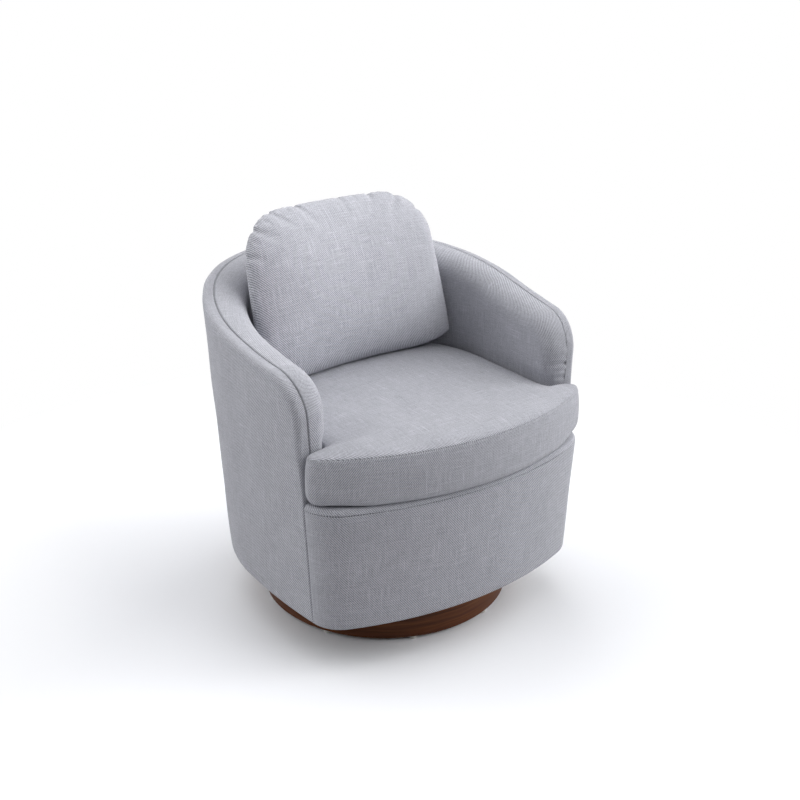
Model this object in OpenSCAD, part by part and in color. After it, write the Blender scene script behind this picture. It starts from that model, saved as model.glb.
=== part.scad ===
// Swivel barrel chair: an upholstered tub on a round plinth with a ball-bearing swivel.
// Millimetres. The floor is z = 0, the swivel axis is the Z axis, and the chair faces -Y.

/* [Barrel] */
// Width across the tub at rim level
barrel_w = 702; // [660:1:740]
// How far the rim stands out past the bottom edge, each side
flare = 31; // [10:1:40]
// Height of the tub's bottom edge above the floor
body_z = 92; // [88:1:110]
// Height of the rim at the back
rim_back = 674; // [640:1:720]
// Height of the arms at the front
rim_front = 583; // [560:1:620]
// Distance from the swivel axis forward to the arm fronts
arm_front = 211; // [195:1:225]
// Radius of the arm's top front corner, seen from the side
arm_corner_r = 75; // [60:1:90]
// Thickness of the wall at rim level
wall_t = 88; // [84:1:100]
// Distance of the back arc's centre behind the swivel axis
barrel_y = 14; // [0:1:25]
// How far each side draws in by the time it meets the arm front
side_draw = 17; // [8:1:24]

/* [Upholstery] */
// Thickness of the cloth with its wadding
cover_t = 2.5; // [2:0.1:3.5]
// Width of the outside cloth's return on the top edge
seam_in = 22; // [16:1:30]
// Rise of the padded roll above the seam
roll_rise = 5; // [2:0.5:10]
// Depth over which the padded roll turns down to the inside wall
roll_drop = 40; // [30:1:50]
// Rounding of the tub's outer top edge
edge_r = 10; // [6:1:12]
// Rounding of the tub's bottom edge
hem_r = 14; // [10:1:18]

/* [Front] */
// Radius of the front panel's corners in plan
corner_r = 70; // [55:1:85]
// Radius of the front panel's bow in plan
bow_r = 720; // [600:10:900]

/* [Seat] */
// Height of the deck under the seat cushion
deck_z = 352; // [340:1:365]
// Height of the seat cushion at its seams
cushion_h = 95; // [80:1:110]
// Crown of the seat cushion above its top seam
cushion_crown = 14; // [6:1:20]
// Bulge of the cushion's side past its seams
cushion_bulge = 5; // [2:0.5:8]
// Distance from the swivel axis to the cushion's front edge
cushion_front = 339; // [332:1:348]
// Radius of the cushion's bowed front in plan
cushion_bow_r = 580; // [520:5:700]
// How far each cushion ear stays inside the rim's width
ear_in = 35; // [30:1:50]
// Radius of the cushion ear's front corner
ear_r = 34; // [20:1:40]

/* [Pillow] */
// Room between the pillow and the inside wall, each side
pillow_room = 27; // [25:1:45]
// Height of the pillow
pillow_h = 338; // [300:1:350]
// Thickness of the pillow
pillow_t = 132; // [100:1:140]
// Backward lean of the pillow in degrees
pillow_lean = 15; // [8:1:16]
// Radius of the pillow's top corners
pillow_r = 95; // [70:1:110]

/* [Plinth] */
// How far the plinth stands in from the tub's bottom edge
plinth_in = 62; // [45:1:80]
// Thickness of the ring's wall
plinth_t = 18; // [15:1:22]
// Height of the top of the ring above the floor
plinth_top = 84; // [80:1:86]
// Number of glides under the ring
glide_n = 9; // [6:1:12]
// Diameter of a glide
glide_d = 17; // [14:1:18]
// Height of a glide
glide_h = 6; // [4:0.5:8]

/* [Swivel] */
// Side of the square swivel plates
plate_w = 230; // [200:1:250]
// Thickness of a swivel plate
plate_t = 2.5; // [2:0.1:3]
// Radius of the ball track
track_r = 85; // [75:1:95]
// Diameter of a ball
ball_d = 8; // [7:0.5:8]
// Number of balls
ball_n = 16; // [12:1:20]
// Diameter of the centre rivet's shank
rivet_d = 20; // [16:1:24]

/* [Frame] */
// Thickness of the plywood boards
board_t = 18; // [15:1:20]
// Thickness of the fibreboard liners
liner_t = 3; // [2:0.5:4]
// Width of the seat frame left between the inside wall and the springs' opening
deck_in = 48; // [42:1:60]
// Number of springs
spring_n = 5; // [3:1:6]
// Diameter of the spring wire
wire_d = 3.8; // [3:0.1:4.5]
// Number of bends in each spring
spring_bends = 15; // [9:2:17]

/* [Hidden] */
$fn = 48;

// Fits and gaps
gap = 0.3;
seat_gap = 0.1;
cut = 1;
pin_clear = 0.08;
ball_clear = 0.05;

// Barrel, worked out from the driving sizes
rim_r = barrel_w / 2;
foot_r = rim_r - flare;
inner_r = rim_r - wall_t;
side_l = arm_front + barrel_y;
side_r = (side_l * side_l + side_draw * side_draw) / (2 * side_draw);
rim_y1 = barrel_y + rim_r;
plinth_d = 2 * (foot_r - plinth_in);
deck_w = 2 * (inner_r - deck_in);
pillow_w = 2 * (inner_r - pillow_room);
ear_x = rim_r - ear_in;
arc_steps = 9;
side_steps = 4;
corner_steps = 6;
nose_step = 2;

// Vertical stack
board_z = body_z + cover_t;
deck_rise = 44;
frame_z = deck_z - deck_rise;
clip_h = wire_d * 2 - seat_gap;
spring_z = frame_z + board_t + wire_d;
pad_z = frame_z + board_t + clip_h + gap;
pad_t = deck_z - cover_t - pad_z;
plinth_rim = 4;
plinth_board_z = plinth_top - plinth_rim - board_t;
lower_plate_z = plinth_board_z + board_t;
upper_plate_z = board_z - plate_t;
ball_z = (lower_plate_z + plate_t + upper_plate_z) / 2;

// Colours
cloth = [0.66, 0.68, 0.73];
cloth_dark = [0.58, 0.60, 0.66];
wood = [0.33, 0.19, 0.12];
ply = [0.80, 0.68, 0.50];
board = [0.62, 0.48, 0.34];
foam = [0.94, 0.90, 0.74];
felt = [0.45, 0.45, 0.46];
black = [0.10, 0.10, 0.11];
steel = [0.70, 0.71, 0.73];
nylon = [0.90, 0.90, 0.87];

// Basic helpers
function smooth(u) = let (v = min(max(u, 0), 1)) v * v * (3 - 2 * v);
function mix(a, b, u) = a + (b - a) * u;
function mirror_x(points) = [for (i = [len(points) - 1:-1:0]) [-points[i][0], points[i][1]]];
function unit(v) = v / norm(v);

// A skin through rings of equal length, closed by its first and last ring
module loft(rings) {
    m = len(rings[0]);
    last = (len(rings) - 1) * m;
    points = [for (ring = rings) each ring];
    sides = [
        for (k = [0:len(rings) - 2])
            for (i = [0:m - 1])
                let (j = (i + 1) % m, a = k * m, b = a + m)
                    each [[b + j, a + j, a + i], [b + i, b + j, a + i]]
    ];
    first_cap = [for (i = [0:m - 1]) i];
    last_cap = [for (i = [m - 1:-1:0]) last + i];
    polyhedron(points, concat([first_cap], sides, [last_cap]), convexity = 10);
}

// Plan of the tub. A station is [side, angle round the back arc, distance forward of it].
function tub_r(z) = foot_r + flare * min(max((z - body_z) / (rim_back - body_z), 0), 1);
function side_drop(fwd) = side_r - sqrt(side_r * side_r - fwd * fwd);
function outer_xy(s, z) = [
    s[0] * (tub_r(z) * sin(s[1]) - side_drop(s[2])),
    barrel_y + tub_r(z) * cos(s[1]) - s[2]
];
function inner_xy(s) = [s[0] * inner_r * sin(s[1]), barrel_y + inner_r * cos(s[1]) - s[2]];

// Height of the rim at a station, with the rounded corner over the arm front
function rim_at(y) = mix(rim_front, rim_back, smooth((y + arm_front) / (rim_y1 + arm_front)));
function corner_in(fwd) = max(fwd - (side_l - arm_corner_r), 0);
function corner_drop(fwd) =
    arm_corner_r - sqrt(max(arm_corner_r * arm_corner_r - corner_in(fwd) * corner_in(fwd), 0));
function rim_z(s) = rim_at(barrel_y + rim_r * cos(s[1]) - s[2]) - corner_drop(s[2]);

// Stations of one half, from the middle of the back to the arm front
function half_stations(side, corner_last) = concat(
    [for (i = [0:arc_steps]) [side, 90 * i / arc_steps, 0]],
    [for (i = [1:side_steps]) [side, 90, (side_l - arm_corner_r) * i / side_steps]],
    [for (i = [1:1:corner_last])
        [side, 90, side_l - arm_corner_r * (1 - sin(90 * i / corner_steps))]]
);
function stations(corner_last) =
    let (left = half_stations(-1, corner_last), right = half_stations(1, corner_last))
        concat([for (i = [len(left) - 1:-1:1]) left[i]], right);

// A point of the wall's section: in from the outer face, at height z
function in_from_outer(s, d, z) =
    let (o = outer_xy(s, z), w = unit(inner_xy(s) - o)) [o[0] + w[0] * d, o[1] + w[1] * d, z];
function in_from_inner(s, d, z) =
    let (i = inner_xy(s), w = unit(outer_xy(s, z) - i)) [i[0] + w[0] * d, i[1] + w[1] * d, z];

// The padded roll between the seam and the inside wall, shrunk by t on its hollow side
roll_angles = [90, 76, 62, 48, 34, 18, 0];
roll_power = 0.8;
function roll_w(s) = norm(outer_xy(s, rim_z(s)) - inner_xy(s)) - seam_in;
function roll_point(s, a, t) =
    let (
        h = rim_z(s),
        w = roll_w(s),
        x = (w - t) * pow(cos(a), roll_power),
        z = (roll_drop - t) * pow(sin(a), roll_power) + roll_rise * sin(2 * a)
    ) in_from_inner(s, w - x, h - roll_drop + z);

// Outside cover: hem, outside face and top return, in one cloth
hem_share = 0.3;
function outside_face(s, t) =
    let (h = rim_z(s)) [
        in_from_outer(s, hem_r, body_z + t),
        in_from_outer(s, mix(0, hem_r, hem_share) + t, body_z + hem_r * hem_share + t),
        in_from_outer(s, t, body_z + hem_r + t),
        in_from_outer(s, t, mix(body_z, deck_z, 1 / 2)),
        in_from_outer(s, t, deck_z),
        in_from_outer(s, t, h - edge_r - t),
        in_from_outer(s, edge_r * hem_share + t, h - edge_r * hem_share - t),
        in_from_outer(s, edge_r + t, h - t),
        in_from_outer(s, seam_in, h - t)
    ];
function reversed(points) = [for (i = [len(points) - 1:-1:0]) points[i]];
function there_and_back(a, b) = concat(a, reversed(b));

module outside_cover() {
    color(cloth_dark)
        loft([
            for (s = stations(corner_steps))
                there_and_back(outside_face(s, 0), outside_face(s, cover_t))
        ]);
}

// Inside cover: the roll and the inside wall, down past the deck
inside_foot = frame_z + board_t + gap;
function inside_face(s, t) = concat(
    [
        in_from_inner(s, t, inside_foot),
        in_from_inner(s, t, mix(inside_foot, rim_z(s) - roll_drop, 1 / 2))
    ],
    [
        for (i = [len(roll_angles) - 1:-1:1])
            roll_point(s, roll_angles[i], t)
    ],
    [in_from_outer(s, seam_in + gap, rim_z(s) - t)]
);

module inside_cover() {
    color(cloth)
        loft([for (s = stations(nose_step)) there_and_back(inside_face(s, cover_t), inside_face(s, 0))]);
}

// Foam under the inside cover, over the top rail and against the inner liner
rail_drop = 30;
rail_h = 45;
foam_t = 16;
liner_in = cover_t + foam_t;
liner_out = cover_t + seat_gap;
rail_in = liner_out + liner_t + seat_gap;
function foam_section(s) =
    let (h = rim_z(s), top = h - rail_drop, t = cover_t + seat_gap) concat(
        [
            in_from_inner(s, liner_in, inside_foot),
            in_from_inner(s, liner_in, top + seat_gap),
            in_from_outer(s, t, top + seat_gap),
            in_from_outer(s, t, h - edge_r - t),
            in_from_outer(s, edge_r + t, h - t - seat_gap),
            in_from_outer(s, seam_in, h - t - seat_gap)
        ],
        [for (i = [1:len(roll_angles) - 1]) roll_point(s, roll_angles[i], t)],
        [in_from_inner(s, t, inside_foot)]
    );

module wall_foam() {
    color(foam) loft([for (s = stations(nose_step)) reversed(foam_section(s))]);
}

// Padded arm fronts: the last of each arm, rounded off towards the seat
nose_r = 34;
nose_share = 0.8;
function nose_turn(s) = max(s[2] - (side_l - nose_r), 0);
function nose_in(s) = nose_share * (nose_r - sqrt(nose_r * nose_r - nose_turn(s) * nose_turn(s)));
function nose_section(s) =
    let (h = rim_z(s), t = cover_t + seat_gap, n = nose_in(s)) concat(
        [
            in_from_outer(s, t, inside_foot),
            in_from_outer(s, t, h - edge_r - t),
            in_from_outer(s, edge_r + t, h - t - seat_gap),
            in_from_outer(s, seam_in + seat_gap, h - t - seat_gap),
            in_from_outer(s, seam_in + seat_gap, h)
        ],
        [for (i = [1:len(roll_angles) - 1])
            let (p = roll_point(s, roll_angles[i], 0))
                mix(p, in_from_outer(s, seam_in + seat_gap, p[2]), n / roll_w(s))],
        [in_from_inner(s, n, inside_foot)]
    );
function nose_stations(side) = [
    for (i = [nose_step:corner_steps])
        [side, 90, side_l - arm_corner_r * (1 - sin(90 * i / corner_steps)) + (i == nose_step ? gap : 0)]
];

module arm_front_pads() {
    color(cloth) {
        loft([for (s = nose_stations(1)) nose_section(s)]);
        left = nose_stations(-1);
        loft([for (i = [len(left) - 1:-1:0]) nose_section(left[i])]);
    }
}

// Plan of the front panel: a corner arc from the end of each side, then the bow.
// A front station is [side, angle of its normal from straight back].
front_a0 = 90 + asin(side_l / side_r);
corner_c = [foot_r - side_drop(side_l) - corner_r * sin(front_a0), -arm_front - corner_r * cos(front_a0)];
bow_y = corner_c[1] + sqrt(pow(bow_r - corner_r, 2) - pow(corner_c[0], 2));
front_a1 = atan2(corner_c[0], corner_c[1] - bow_y);
function front_xy(f, z, d) =
    let (
        out = tub_r(z) - foot_r - d,
        on_corner = f[1] < front_a1,
        c = on_corner ? corner_c : [0, bow_y],
        r = (on_corner ? corner_r : bow_r) + out,
        flush = -arm_front - gap
    ) [f[0] * (c[0] + r * sin(f[1])), f[1] == front_a0 ? flush : min(c[1] + r * cos(f[1]), flush)];
function half_front(side) = concat(
    [for (i = [0:4]) [side, mix(front_a0, front_a1, i / 5)]],
    [for (i = [0:4]) [side, mix(front_a1, 180, i / 4)]]
);
function front_stations() =
    let (left = half_front(-1), right = half_front(1))
        concat(left, [for (i = [len(right) - 2:-1:0]) right[i]]);
function front_point(f, d, z) = let (p = front_xy(f, z, d)) [p[0], p[1], z];

// Front cover: hem, bowed face and the return over the front rail
front_edge_r = 8;
front_return = 25;
function front_face(f, t) = [
    front_point(f, hem_r, body_z + t),
    front_point(f, hem_r * hem_share + t, body_z + hem_r * hem_share + t),
    front_point(f, t, body_z + hem_r + t),
    front_point(f, t, mix(body_z, deck_z, 1 / 2)),
    front_point(f, t, deck_z - front_edge_r - t),
    front_point(f, front_edge_r * hem_share + t, deck_z - front_edge_r * hem_share - t),
    front_point(f, front_edge_r + t, deck_z - t),
    front_point(f, front_return, deck_z - t)
];

module front_cover() {
    color(cloth_dark)
        loft([for (f = front_stations()) there_and_back(front_face(f, cover_t), front_face(f, 0))]);
}

// Liners: fibreboard bent round the frame, under the covers
function wall_board(s, d_out, d_in, z0, z1) = [
    in_from_outer(s, d_out, z0), in_from_outer(s, d_out, z1),
    in_from_outer(s, d_in, z1), in_from_outer(s, d_in, z0)
];

module outer_liner() {
    z0 = board_z + board_t + gap;
    color(board)
        loft([
            for (s = stations(nose_step))
                wall_board(s, liner_out, liner_out + liner_t, z0, rim_z(s) - rail_drop)
        ]);
}

module front_liner() {
    z0 = board_z + board_t + gap;
    z1 = frame_z + board_t;
    color(board)
        loft([
            for (f = front_stations()) [
                front_point(f, liner_out + liner_t, z0),
                front_point(f, liner_out + liner_t, z1),
                front_point(f, liner_out, z1),
                front_point(f, liner_out, z0)
            ]
        ]);
}

module inner_liner() {
    color(board)
        loft([
            for (s = stations(nose_step))
                let (z1 = rim_z(s) - rail_drop - rail_h - seat_gap) [
                    in_from_inner(s, liner_in + liner_t, inside_foot),
                    in_from_inner(s, liner_in + liner_t, z1),
                    in_from_inner(s, liner_in + seat_gap, z1),
                    in_from_inner(s, liner_in + seat_gap, inside_foot)
                ]
        ]);
}

// Top rail: laminated wood that carries the rim
module top_rail() {
    color(ply)
        loft([
            for (s = stations(nose_step))
                let (z1 = rim_z(s) - rail_drop, z0 = z1 - rail_h) [
                    in_from_outer(s, rail_in, z0), in_from_outer(s, rail_in, z1),
                    in_from_inner(s, liner_in + seat_gap, z1), in_from_inner(s, liner_in + seat_gap, z0)
                ]
        ]);
}

// Boards cut to the tub's plan, d inside its face at height z
function plan_points(z, d) =
    let (
        right = concat(
            [
                for (s = half_stations(1, corner_steps - 2))
                    let (p = in_from_outer(s, d, z)) [p[0], p[1]]
            ],
            [for (f = half_front(1)) front_xy(f, z, d)]
        )
    ) concat(right, mirror_x([for (i = [1:len(right) - 2]) right[i]]));

dust_t = 1;
rail_w = 46;
spring_end = 12;
clip_l = 12;
clip_room = 2.5;
spring_spread_share = 0.744;
spring_pitch = spring_spread_share * deck_w / (spring_n - 1);
rail_back_r = bow_r + tub_r(frame_z + board_t) - foot_r - rail_w;
rail_back = sqrt(pow(rail_back_r, 2) - pow(spring_pitch * (spring_n - 1) / 2, 2)) - bow_y;
opening_front = rail_back - spring_end - clip_l / 2 - clip_room;
nut_d = 11;
bolt_d = 8;
bolt_in = 25;
bolt_at = plate_w / 2 - bolt_in;
bolt_head_over = 6;
nut_flange_over = 9;
screw_d = 5;
function corners(a) = [for (i = [-1, 1], j = [-1, 1]) [a * i, a * j]];
hub_d = plate_w / 4;

module base_board() {
    color(ply)
        translate([0, 0, board_z])
            difference() {
                linear_extrude(board_t) polygon(plan_points(board_z, hem_r + gap));
                translate([0, 0, -cut]) cylinder(h = board_t + 2 * cut, d = hub_d);
                for (p = corners(bolt_at))
                    translate([p[0], p[1], -cut]) cylinder(h = board_t + 2 * cut, d = nut_d);
            }
}

module dust_cover() {
    color(black)
        translate([0, 0, body_z + cover_t - dust_t])
            linear_extrude(dust_t)
                difference() {
                    polygon(plan_points(board_z, hem_r + gap));
                    square(plate_w + 2 * gap, center = true);
                }
}

module seat_frame() {
    color(ply)
        translate([0, 0, frame_z])
            linear_extrude(board_t)
                difference() {
                    polygon(plan_points(frame_z, rail_in));
                    translate([0, barrel_y]) circle(d = deck_w);
                    translate([-deck_w / 2, -opening_front]) square([deck_w, opening_front + barrel_y]);
                }
}

// Front rail: raises the deck's front edge to the height of the deck
module front_rail() {
    z0 = frame_z + board_t;
    z1 = deck_z - cover_t - seat_gap;
    color(ply)
        loft([
            for (f = front_stations()) [
                front_point(f, rail_w, z0),
                front_point(f, rail_w, z1),
                front_point(f, front_edge_r + cover_t, z1),
                front_point(f, front_edge_r + cover_t, z0)
            ]
        ]);
}

// Posts: short ones between the base board and the seat frame, tall ones up to the top rail
post_w = 40;
post_t = 24;
post_angles = [0, 36, 72];
post_fwd_shares = [0.3, 0.72];
post_clear = 1;
function post_places() = concat(
    [for (a = post_angles) [a, 0]],
    [for (u = post_fwd_shares) [90, side_l * u]]
);
module post(side, a, fwd, r, z0, z1) {
    translate([side * r * sin(a), barrel_y + r * cos(a) - fwd, z0])
        rotate([0, 0, -side * a])
            translate([-post_w / 2, 0, 0]) cube([post_w, post_t, z1 - z0]);
}
module posts(r, z0, tall) {
    for (side = [-1, 1], p = post_places())
        if (side > 0 || p[0] > 0) {
            y = barrel_y + rim_r * cos(p[0]) - p[1] - post_w / 2;
            z1 = rim_at(y) - rail_drop - rail_h - corner_drop(p[1] + post_w / 2) - post_clear;
            post(side, p[0], p[1], r, z0, tall ? z1 : frame_z);
        }
}

module lower_posts() {
    color(ply) posts(deck_w / 2 + rail_w / 2, board_z + board_t, false);
    color(ply)
        for (side = [-1, 1])
            translate([side * (deck_w - post_w) / 2, -opening_front - post_t - gap, board_z + board_t])
                translate([-post_w / 2, 0, 0]) cube([post_w, post_t, frame_z - board_z - board_t]);
}

module wall_posts() {
    color(ply) posts(inner_r + liner_in + liner_t + gap, frame_z + board_t, true);
}

// Springs: sinuous wires from the back of the opening to its front, held by clips
spring_w = 46;
spring_y0 = -opening_front - spring_end;
function spring_x(i) = spring_pitch * (i - (spring_n - 1) / 2);
// A bend's radius is rounded down to a tenth, as wire is bent on a fixed set of formers
former_steps = 10;
function spring_reach(x) = barrel_y + sqrt(pow(deck_w / 2, 2) - x * x) + spring_end;
function bend_r(x) =
    floor((spring_reach(x) - spring_y0) / (2 * spring_bends) * former_steps) / former_steps;
function spring_y1(x) = spring_y0 + 2 * bend_r(x) * spring_bends;
function last_run(run) = spring_bends % 2 == 1 ? 0 : -run;

module wire(length) {
    rotate([0, 90, 0]) cylinder(h = length, d = wire_d, $fn = 24);
}
module half_bend(r) {
    rotate_extrude(angle = 180) translate([r, 0]) circle(d = wire_d, $fn = 24);
}
module spring(x) {
    r = bend_r(x);
    run = spring_w / 2 - r;
    translate([x, spring_y0, spring_z]) {
        wire(run);
        translate([last_run(run), 2 * r * spring_bends, 0]) wire(run);
        for (k = [1:spring_bends - 1])
            translate([-run, 2 * r * k, 0]) wire(2 * run);
        for (k = [0:spring_bends - 1]) {
            side = k % 2 == 0 ? 1 : -1;
            translate([side * run, 2 * r * k + r, 0]) rotate([0, 0, -90 * side]) half_bend(r);
        }
    }
}

module springs() {
    color(steel) for (i = [0:spring_n - 1]) spring(spring_x(i));
}

clip_w = 5;
module clip() {
    difference() {
        translate([-clip_w / 2, -clip_l / 2, 0]) cube([clip_w, clip_l, clip_h]);
        translate([-clip_w / 2 - cut, 0, wire_d]) rotate([0, 90, 0])
            cylinder(h = clip_w + 2 * cut, d = wire_d + 2 * seat_gap, $fn = 24);
    }
}

module spring_clips() {
    color(steel)
        for (i = [0:spring_n - 1]) {
            x = spring_x(i);
            run = spring_w / 2 - bend_r(x);
            translate([x + run / 2, spring_y0, frame_z + board_t]) clip();
            translate([x + last_run(run) + run / 2, spring_y1(x), frame_z + board_t]) clip();
        }
}

// Deck: a felt pad over the springs and the cloth that covers it, ahead of the inside wall
function deck_points(z, d_wall, d_front) =
    let (
        right = concat(
            [for (s = half_stations(1, 0)) let (p = in_from_inner(s, -d_wall, deck_z)) [p[0], p[1]]],
            [[inner_r - d_wall, -arm_front - gap]],
            [
                for (f = half_front(1))
                    let (p = front_xy(f, z, d_front)) if (p[0] > 0 || f[1] == 180) p
            ]
        )
    ) concat(right, mirror_x([for (i = [1:len(right) - 2]) right[i]]));

module deck_pad() {
    color(felt)
        translate([0, 0, pad_z]) linear_extrude(pad_t) polygon(deck_points(frame_z + board_t, gap, rail_w + gap));
}

module deck_cover() {
    color(cloth_dark)
        translate([0, 0, deck_z - cover_t])
            linear_extrude(cover_t - gap) polygon(deck_points(deck_z - cover_t, gap, front_return + gap));
}

// Swivel: two steel plates with a grooved ring each, balls in a cage, and a centre rivet
race_w = 16;
race_h = 2.8;
rivet_head_t = 3;
rivet_head_over = 12;
rivet_head_d = rivet_d + rivet_head_over;
plate_r = 12;
module plate_outline() {
    difference() {
        square(plate_w, center = true);
        for (i = [-1, 1], j = [-1, 1])
            translate([i * plate_w / 2, j * plate_w / 2]) difference() {
                square(2 * plate_r, center = true);
                translate([-i * plate_r, -j * plate_r]) circle(r = plate_r);
            }
    }
}
module race(z) {
    translate([0, 0, z])
        rotate_extrude($fn = 96) translate([track_r - race_w / 2, 0]) square([race_w, race_h]);
}
module track() {
    translate([0, 0, ball_z])
        rotate_extrude($fn = 96) translate([track_r, 0]) circle(d = ball_d + 2 * ball_clear, $fn = 32);
}
module swivel_plate(z, race_z, hole_d, fixing_d) {
    difference() {
        union() {
            translate([0, 0, z]) linear_extrude(plate_t) plate_outline();
            race(race_z);
        }
        track();
        translate([0, 0, z - cut]) cylinder(h = plate_t + 2 * cut, d = hole_d);
        for (p = corners(bolt_at))
            translate([p[0], p[1], z - cut]) cylinder(h = plate_t + 2 * cut, d = fixing_d, $fn = 32);
    }
}

module lower_swivel_plate() {
    color(steel)
        swivel_plate(
            lower_plate_z, lower_plate_z + plate_t, rivet_d + 2 * seat_gap, screw_d + 2 * seat_gap
        );
}
module upper_swivel_plate() {
    color(steel)
        swivel_plate(
            upper_plate_z, upper_plate_z - race_h, rivet_d + 2 * pin_clear, bolt_d + 2 * seat_gap
        );
}

module centre_rivet() {
    color(steel) {
        translate([0, 0, lower_plate_z - rivet_head_t]) cylinder(h = rivet_head_t, d = rivet_head_d);
        translate([0, 0, lower_plate_z]) cylinder(h = board_z + gap - lower_plate_z, d = rivet_d);
        translate([0, 0, board_z + gap]) cylinder(h = rivet_head_t, d = rivet_head_d);
    }
}

cage_w = 26;
cage_t = 1.2;
module ball_cage() {
    color(nylon)
        difference() {
            translate([0, 0, ball_z - cage_t / 2])
                rotate_extrude($fn = 96) translate([track_r - cage_w / 2, 0]) square([cage_w, cage_t]);
            for (i = [0:ball_n - 1])
                rotate([0, 0, 360 * i / ball_n])
                    translate([track_r, 0, ball_z - cage_t / 2 - cut])
                        cylinder(h = cage_t + 2 * cut, d = ball_d + 2 * seat_gap, $fn = 32);
        }
}
module bearing_balls() {
    color(steel)
        for (i = [0:ball_n - 1])
            rotate([0, 0, 360 * i / ball_n]) translate([track_r, 0, ball_z]) sphere(d = ball_d, $fn = 32);
}

// Fixings: wood screws into the plinth board, bolts up into tee nuts in the base board
head_t = 2.5;
head_d = 12;
module lower_plate_screws() {
    color(steel)
        for (p = corners(bolt_at))
            translate([p[0], p[1], 0]) {
                translate([0, 0, lower_plate_z + plate_t]) cylinder(h = head_t, d = head_d, $fn = 32);
                translate([0, 0, lower_plate_z - board_t + plate_t])
                    cylinder(h = board_t, d = screw_d, $fn = 32);
            }
}
module upper_plate_bolts() {
    color(steel)
        for (p = corners(bolt_at))
            translate([p[0], p[1], 0]) {
                translate([0, 0, upper_plate_z - head_t])
                    cylinder(h = head_t, d = bolt_d + bolt_head_over, $fn = 32);
                translate([0, 0, upper_plate_z]) cylinder(h = plate_t + board_t, d = bolt_d, $fn = 32);
            }
}
nut_t = 1.5;
module tee_nuts() {
    color(steel)
        for (p = corners(bolt_at))
            translate([p[0], p[1], board_z + board_t / 3])
                difference() {
                    union() {
                        cylinder(h = board_t * 2 / 3, d = nut_d - 2 * seat_gap, $fn = 32);
                        translate([0, 0, board_t * 2 / 3])
                            cylinder(h = nut_t, d = nut_d + nut_flange_over, $fn = 32);
                    }
                    translate([0, 0, -cut])
                        cylinder(h = board_t + 2 * cut, d = bolt_d + 2 * seat_gap, $fn = 32);
                }
}

// Plinth: bent ring, board let into it, glue blocks and nailed glides
chamfer = 1.5;
module plinth_ring() {
    r = plinth_d / 2;
    color(wood)
        difference() {
            rotate_extrude($fn = 128)
                polygon([
                    [r - plinth_t, glide_h], [r - chamfer, glide_h], [r, glide_h + chamfer],
                    [r, plinth_top - chamfer], [r - chamfer, plinth_top], [r - plinth_t, plinth_top]
                ]);
            at_glides()
                translate([0, 0, glide_h - cut]) cylinder(h = nail_l, d = nail_d + 2 * seat_gap, $fn = 24);
        }
}
module plinth_board() {
    color(ply)
        translate([0, 0, plinth_board_z])
            difference() {
                cylinder(h = board_t, d = plinth_d - 2 * plinth_t - 2 * seat_gap, $fn = 128);
                translate([0, 0, board_t - rivet_head_t - gap])
                    cylinder(h = rivet_head_t + gap + cut, d = rivet_head_d + 2 * gap);
                for (p = corners(bolt_at))
                    translate([p[0], p[1], -cut])
                        cylinder(h = board_t + 2 * cut, d = screw_d + 2 * seat_gap, $fn = 32);
            }
}
block_n = 6;
block_w = 24;
block_h = 26;
block_a = 16;
module plinth_blocks() {
    r = plinth_d / 2 - plinth_t - seat_gap;
    color(wood)
        for (i = [0:block_n - 1])
            rotate([0, 0, 360 * i / block_n])
                translate([0, 0, plinth_board_z - block_h])
                    rotate_extrude(angle = block_a, $fn = 128)
                        translate([r - block_w, 0]) square([block_w, block_h]);
}
glide_a0 = -151;
nail_d = 3;
nail_l = 16;
glide_skirt = 1.5;
module at_glides() {
    for (i = [0:glide_n - 1])
        rotate([0, 0, glide_a0 + 360 * i / glide_n])
            translate([plinth_d / 2 - plinth_t / 2, 0, 0]) children();
}
module glides() {
    color(nylon)
        at_glides()
            rotate_extrude($fn = 32)
                polygon([
                    [nail_d / 2 + seat_gap, 0], [glide_d / 2 - glide_skirt, 0], [glide_d / 2, glide_skirt],
                    [glide_d / 2, glide_h], [nail_d / 2 + seat_gap, glide_h]
                ]);
}
module glide_nails() {
    color(steel)
        at_glides() translate([0, 0, glide_h / 3]) cylinder(h = nail_l, d = nail_d, $fn = 24);
}

// Seat cushion: plan of one half from the back, past the arm front, round the ear to the bow
cushion_gap = 1;
ear_back_r = 12;
cushion_bow_y = cushion_bow_r - cushion_front;
ear_c = [
    ear_x - ear_r,
    cushion_bow_y - sqrt(pow(cushion_bow_r - ear_r, 2) - pow(ear_x - ear_r, 2))
];
ear_a1 = atan2(ear_c[0], ear_c[1] - cushion_bow_y);
function arc_points(c, r, a0, a1, n) =
    [for (i = [0:n]) let (a = mix(a0, a1, i / n)) [c[0] + r * sin(a), c[1] + r * cos(a)]];
function nose_points() = [
    for (i = [nose_step + 1:corner_steps])
        let (s = [1, 90, side_l - arm_corner_r * (1 - sin(90 * i / corner_steps))])
            [inner_r + nose_in(s) - cushion_gap, barrel_y - s[2] - (i == corner_steps ? cushion_gap : 0)]
];
function cushion_half() = concat(
    [for (s = half_stations(1, 1)) let (p = in_from_inner(s, -cushion_gap, deck_z)) [p[0], p[1]]],
    nose_points(),
    arc_points([ear_x - ear_back_r, -arm_front - cushion_gap - ear_back_r], ear_back_r, 0, 90, 3),
    arc_points(ear_c, ear_r, 90, ear_a1, 3),
    [
        for (i = [1:5])
            let (a = mix(ear_a1, 180, i / 5))
                [0, cushion_bow_y] + cushion_bow_r * [sin(a), cos(a)]
    ]
);
function cushion_outline() =
    let (right = cushion_half()) concat(right, mirror_x([for (i = [1:len(right) - 2]) right[i]]));

// Moves each point of a clockwise outline inward by d, square to its neighbours
function inset(points, d) =
    let (n = len(points)) [
        for (i = [0:n - 1])
            let (t = unit(points[(i + 1) % n] - points[(i + n - 1) % n])) points[i] + d * [t[1], -t[0]]
    ];

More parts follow.
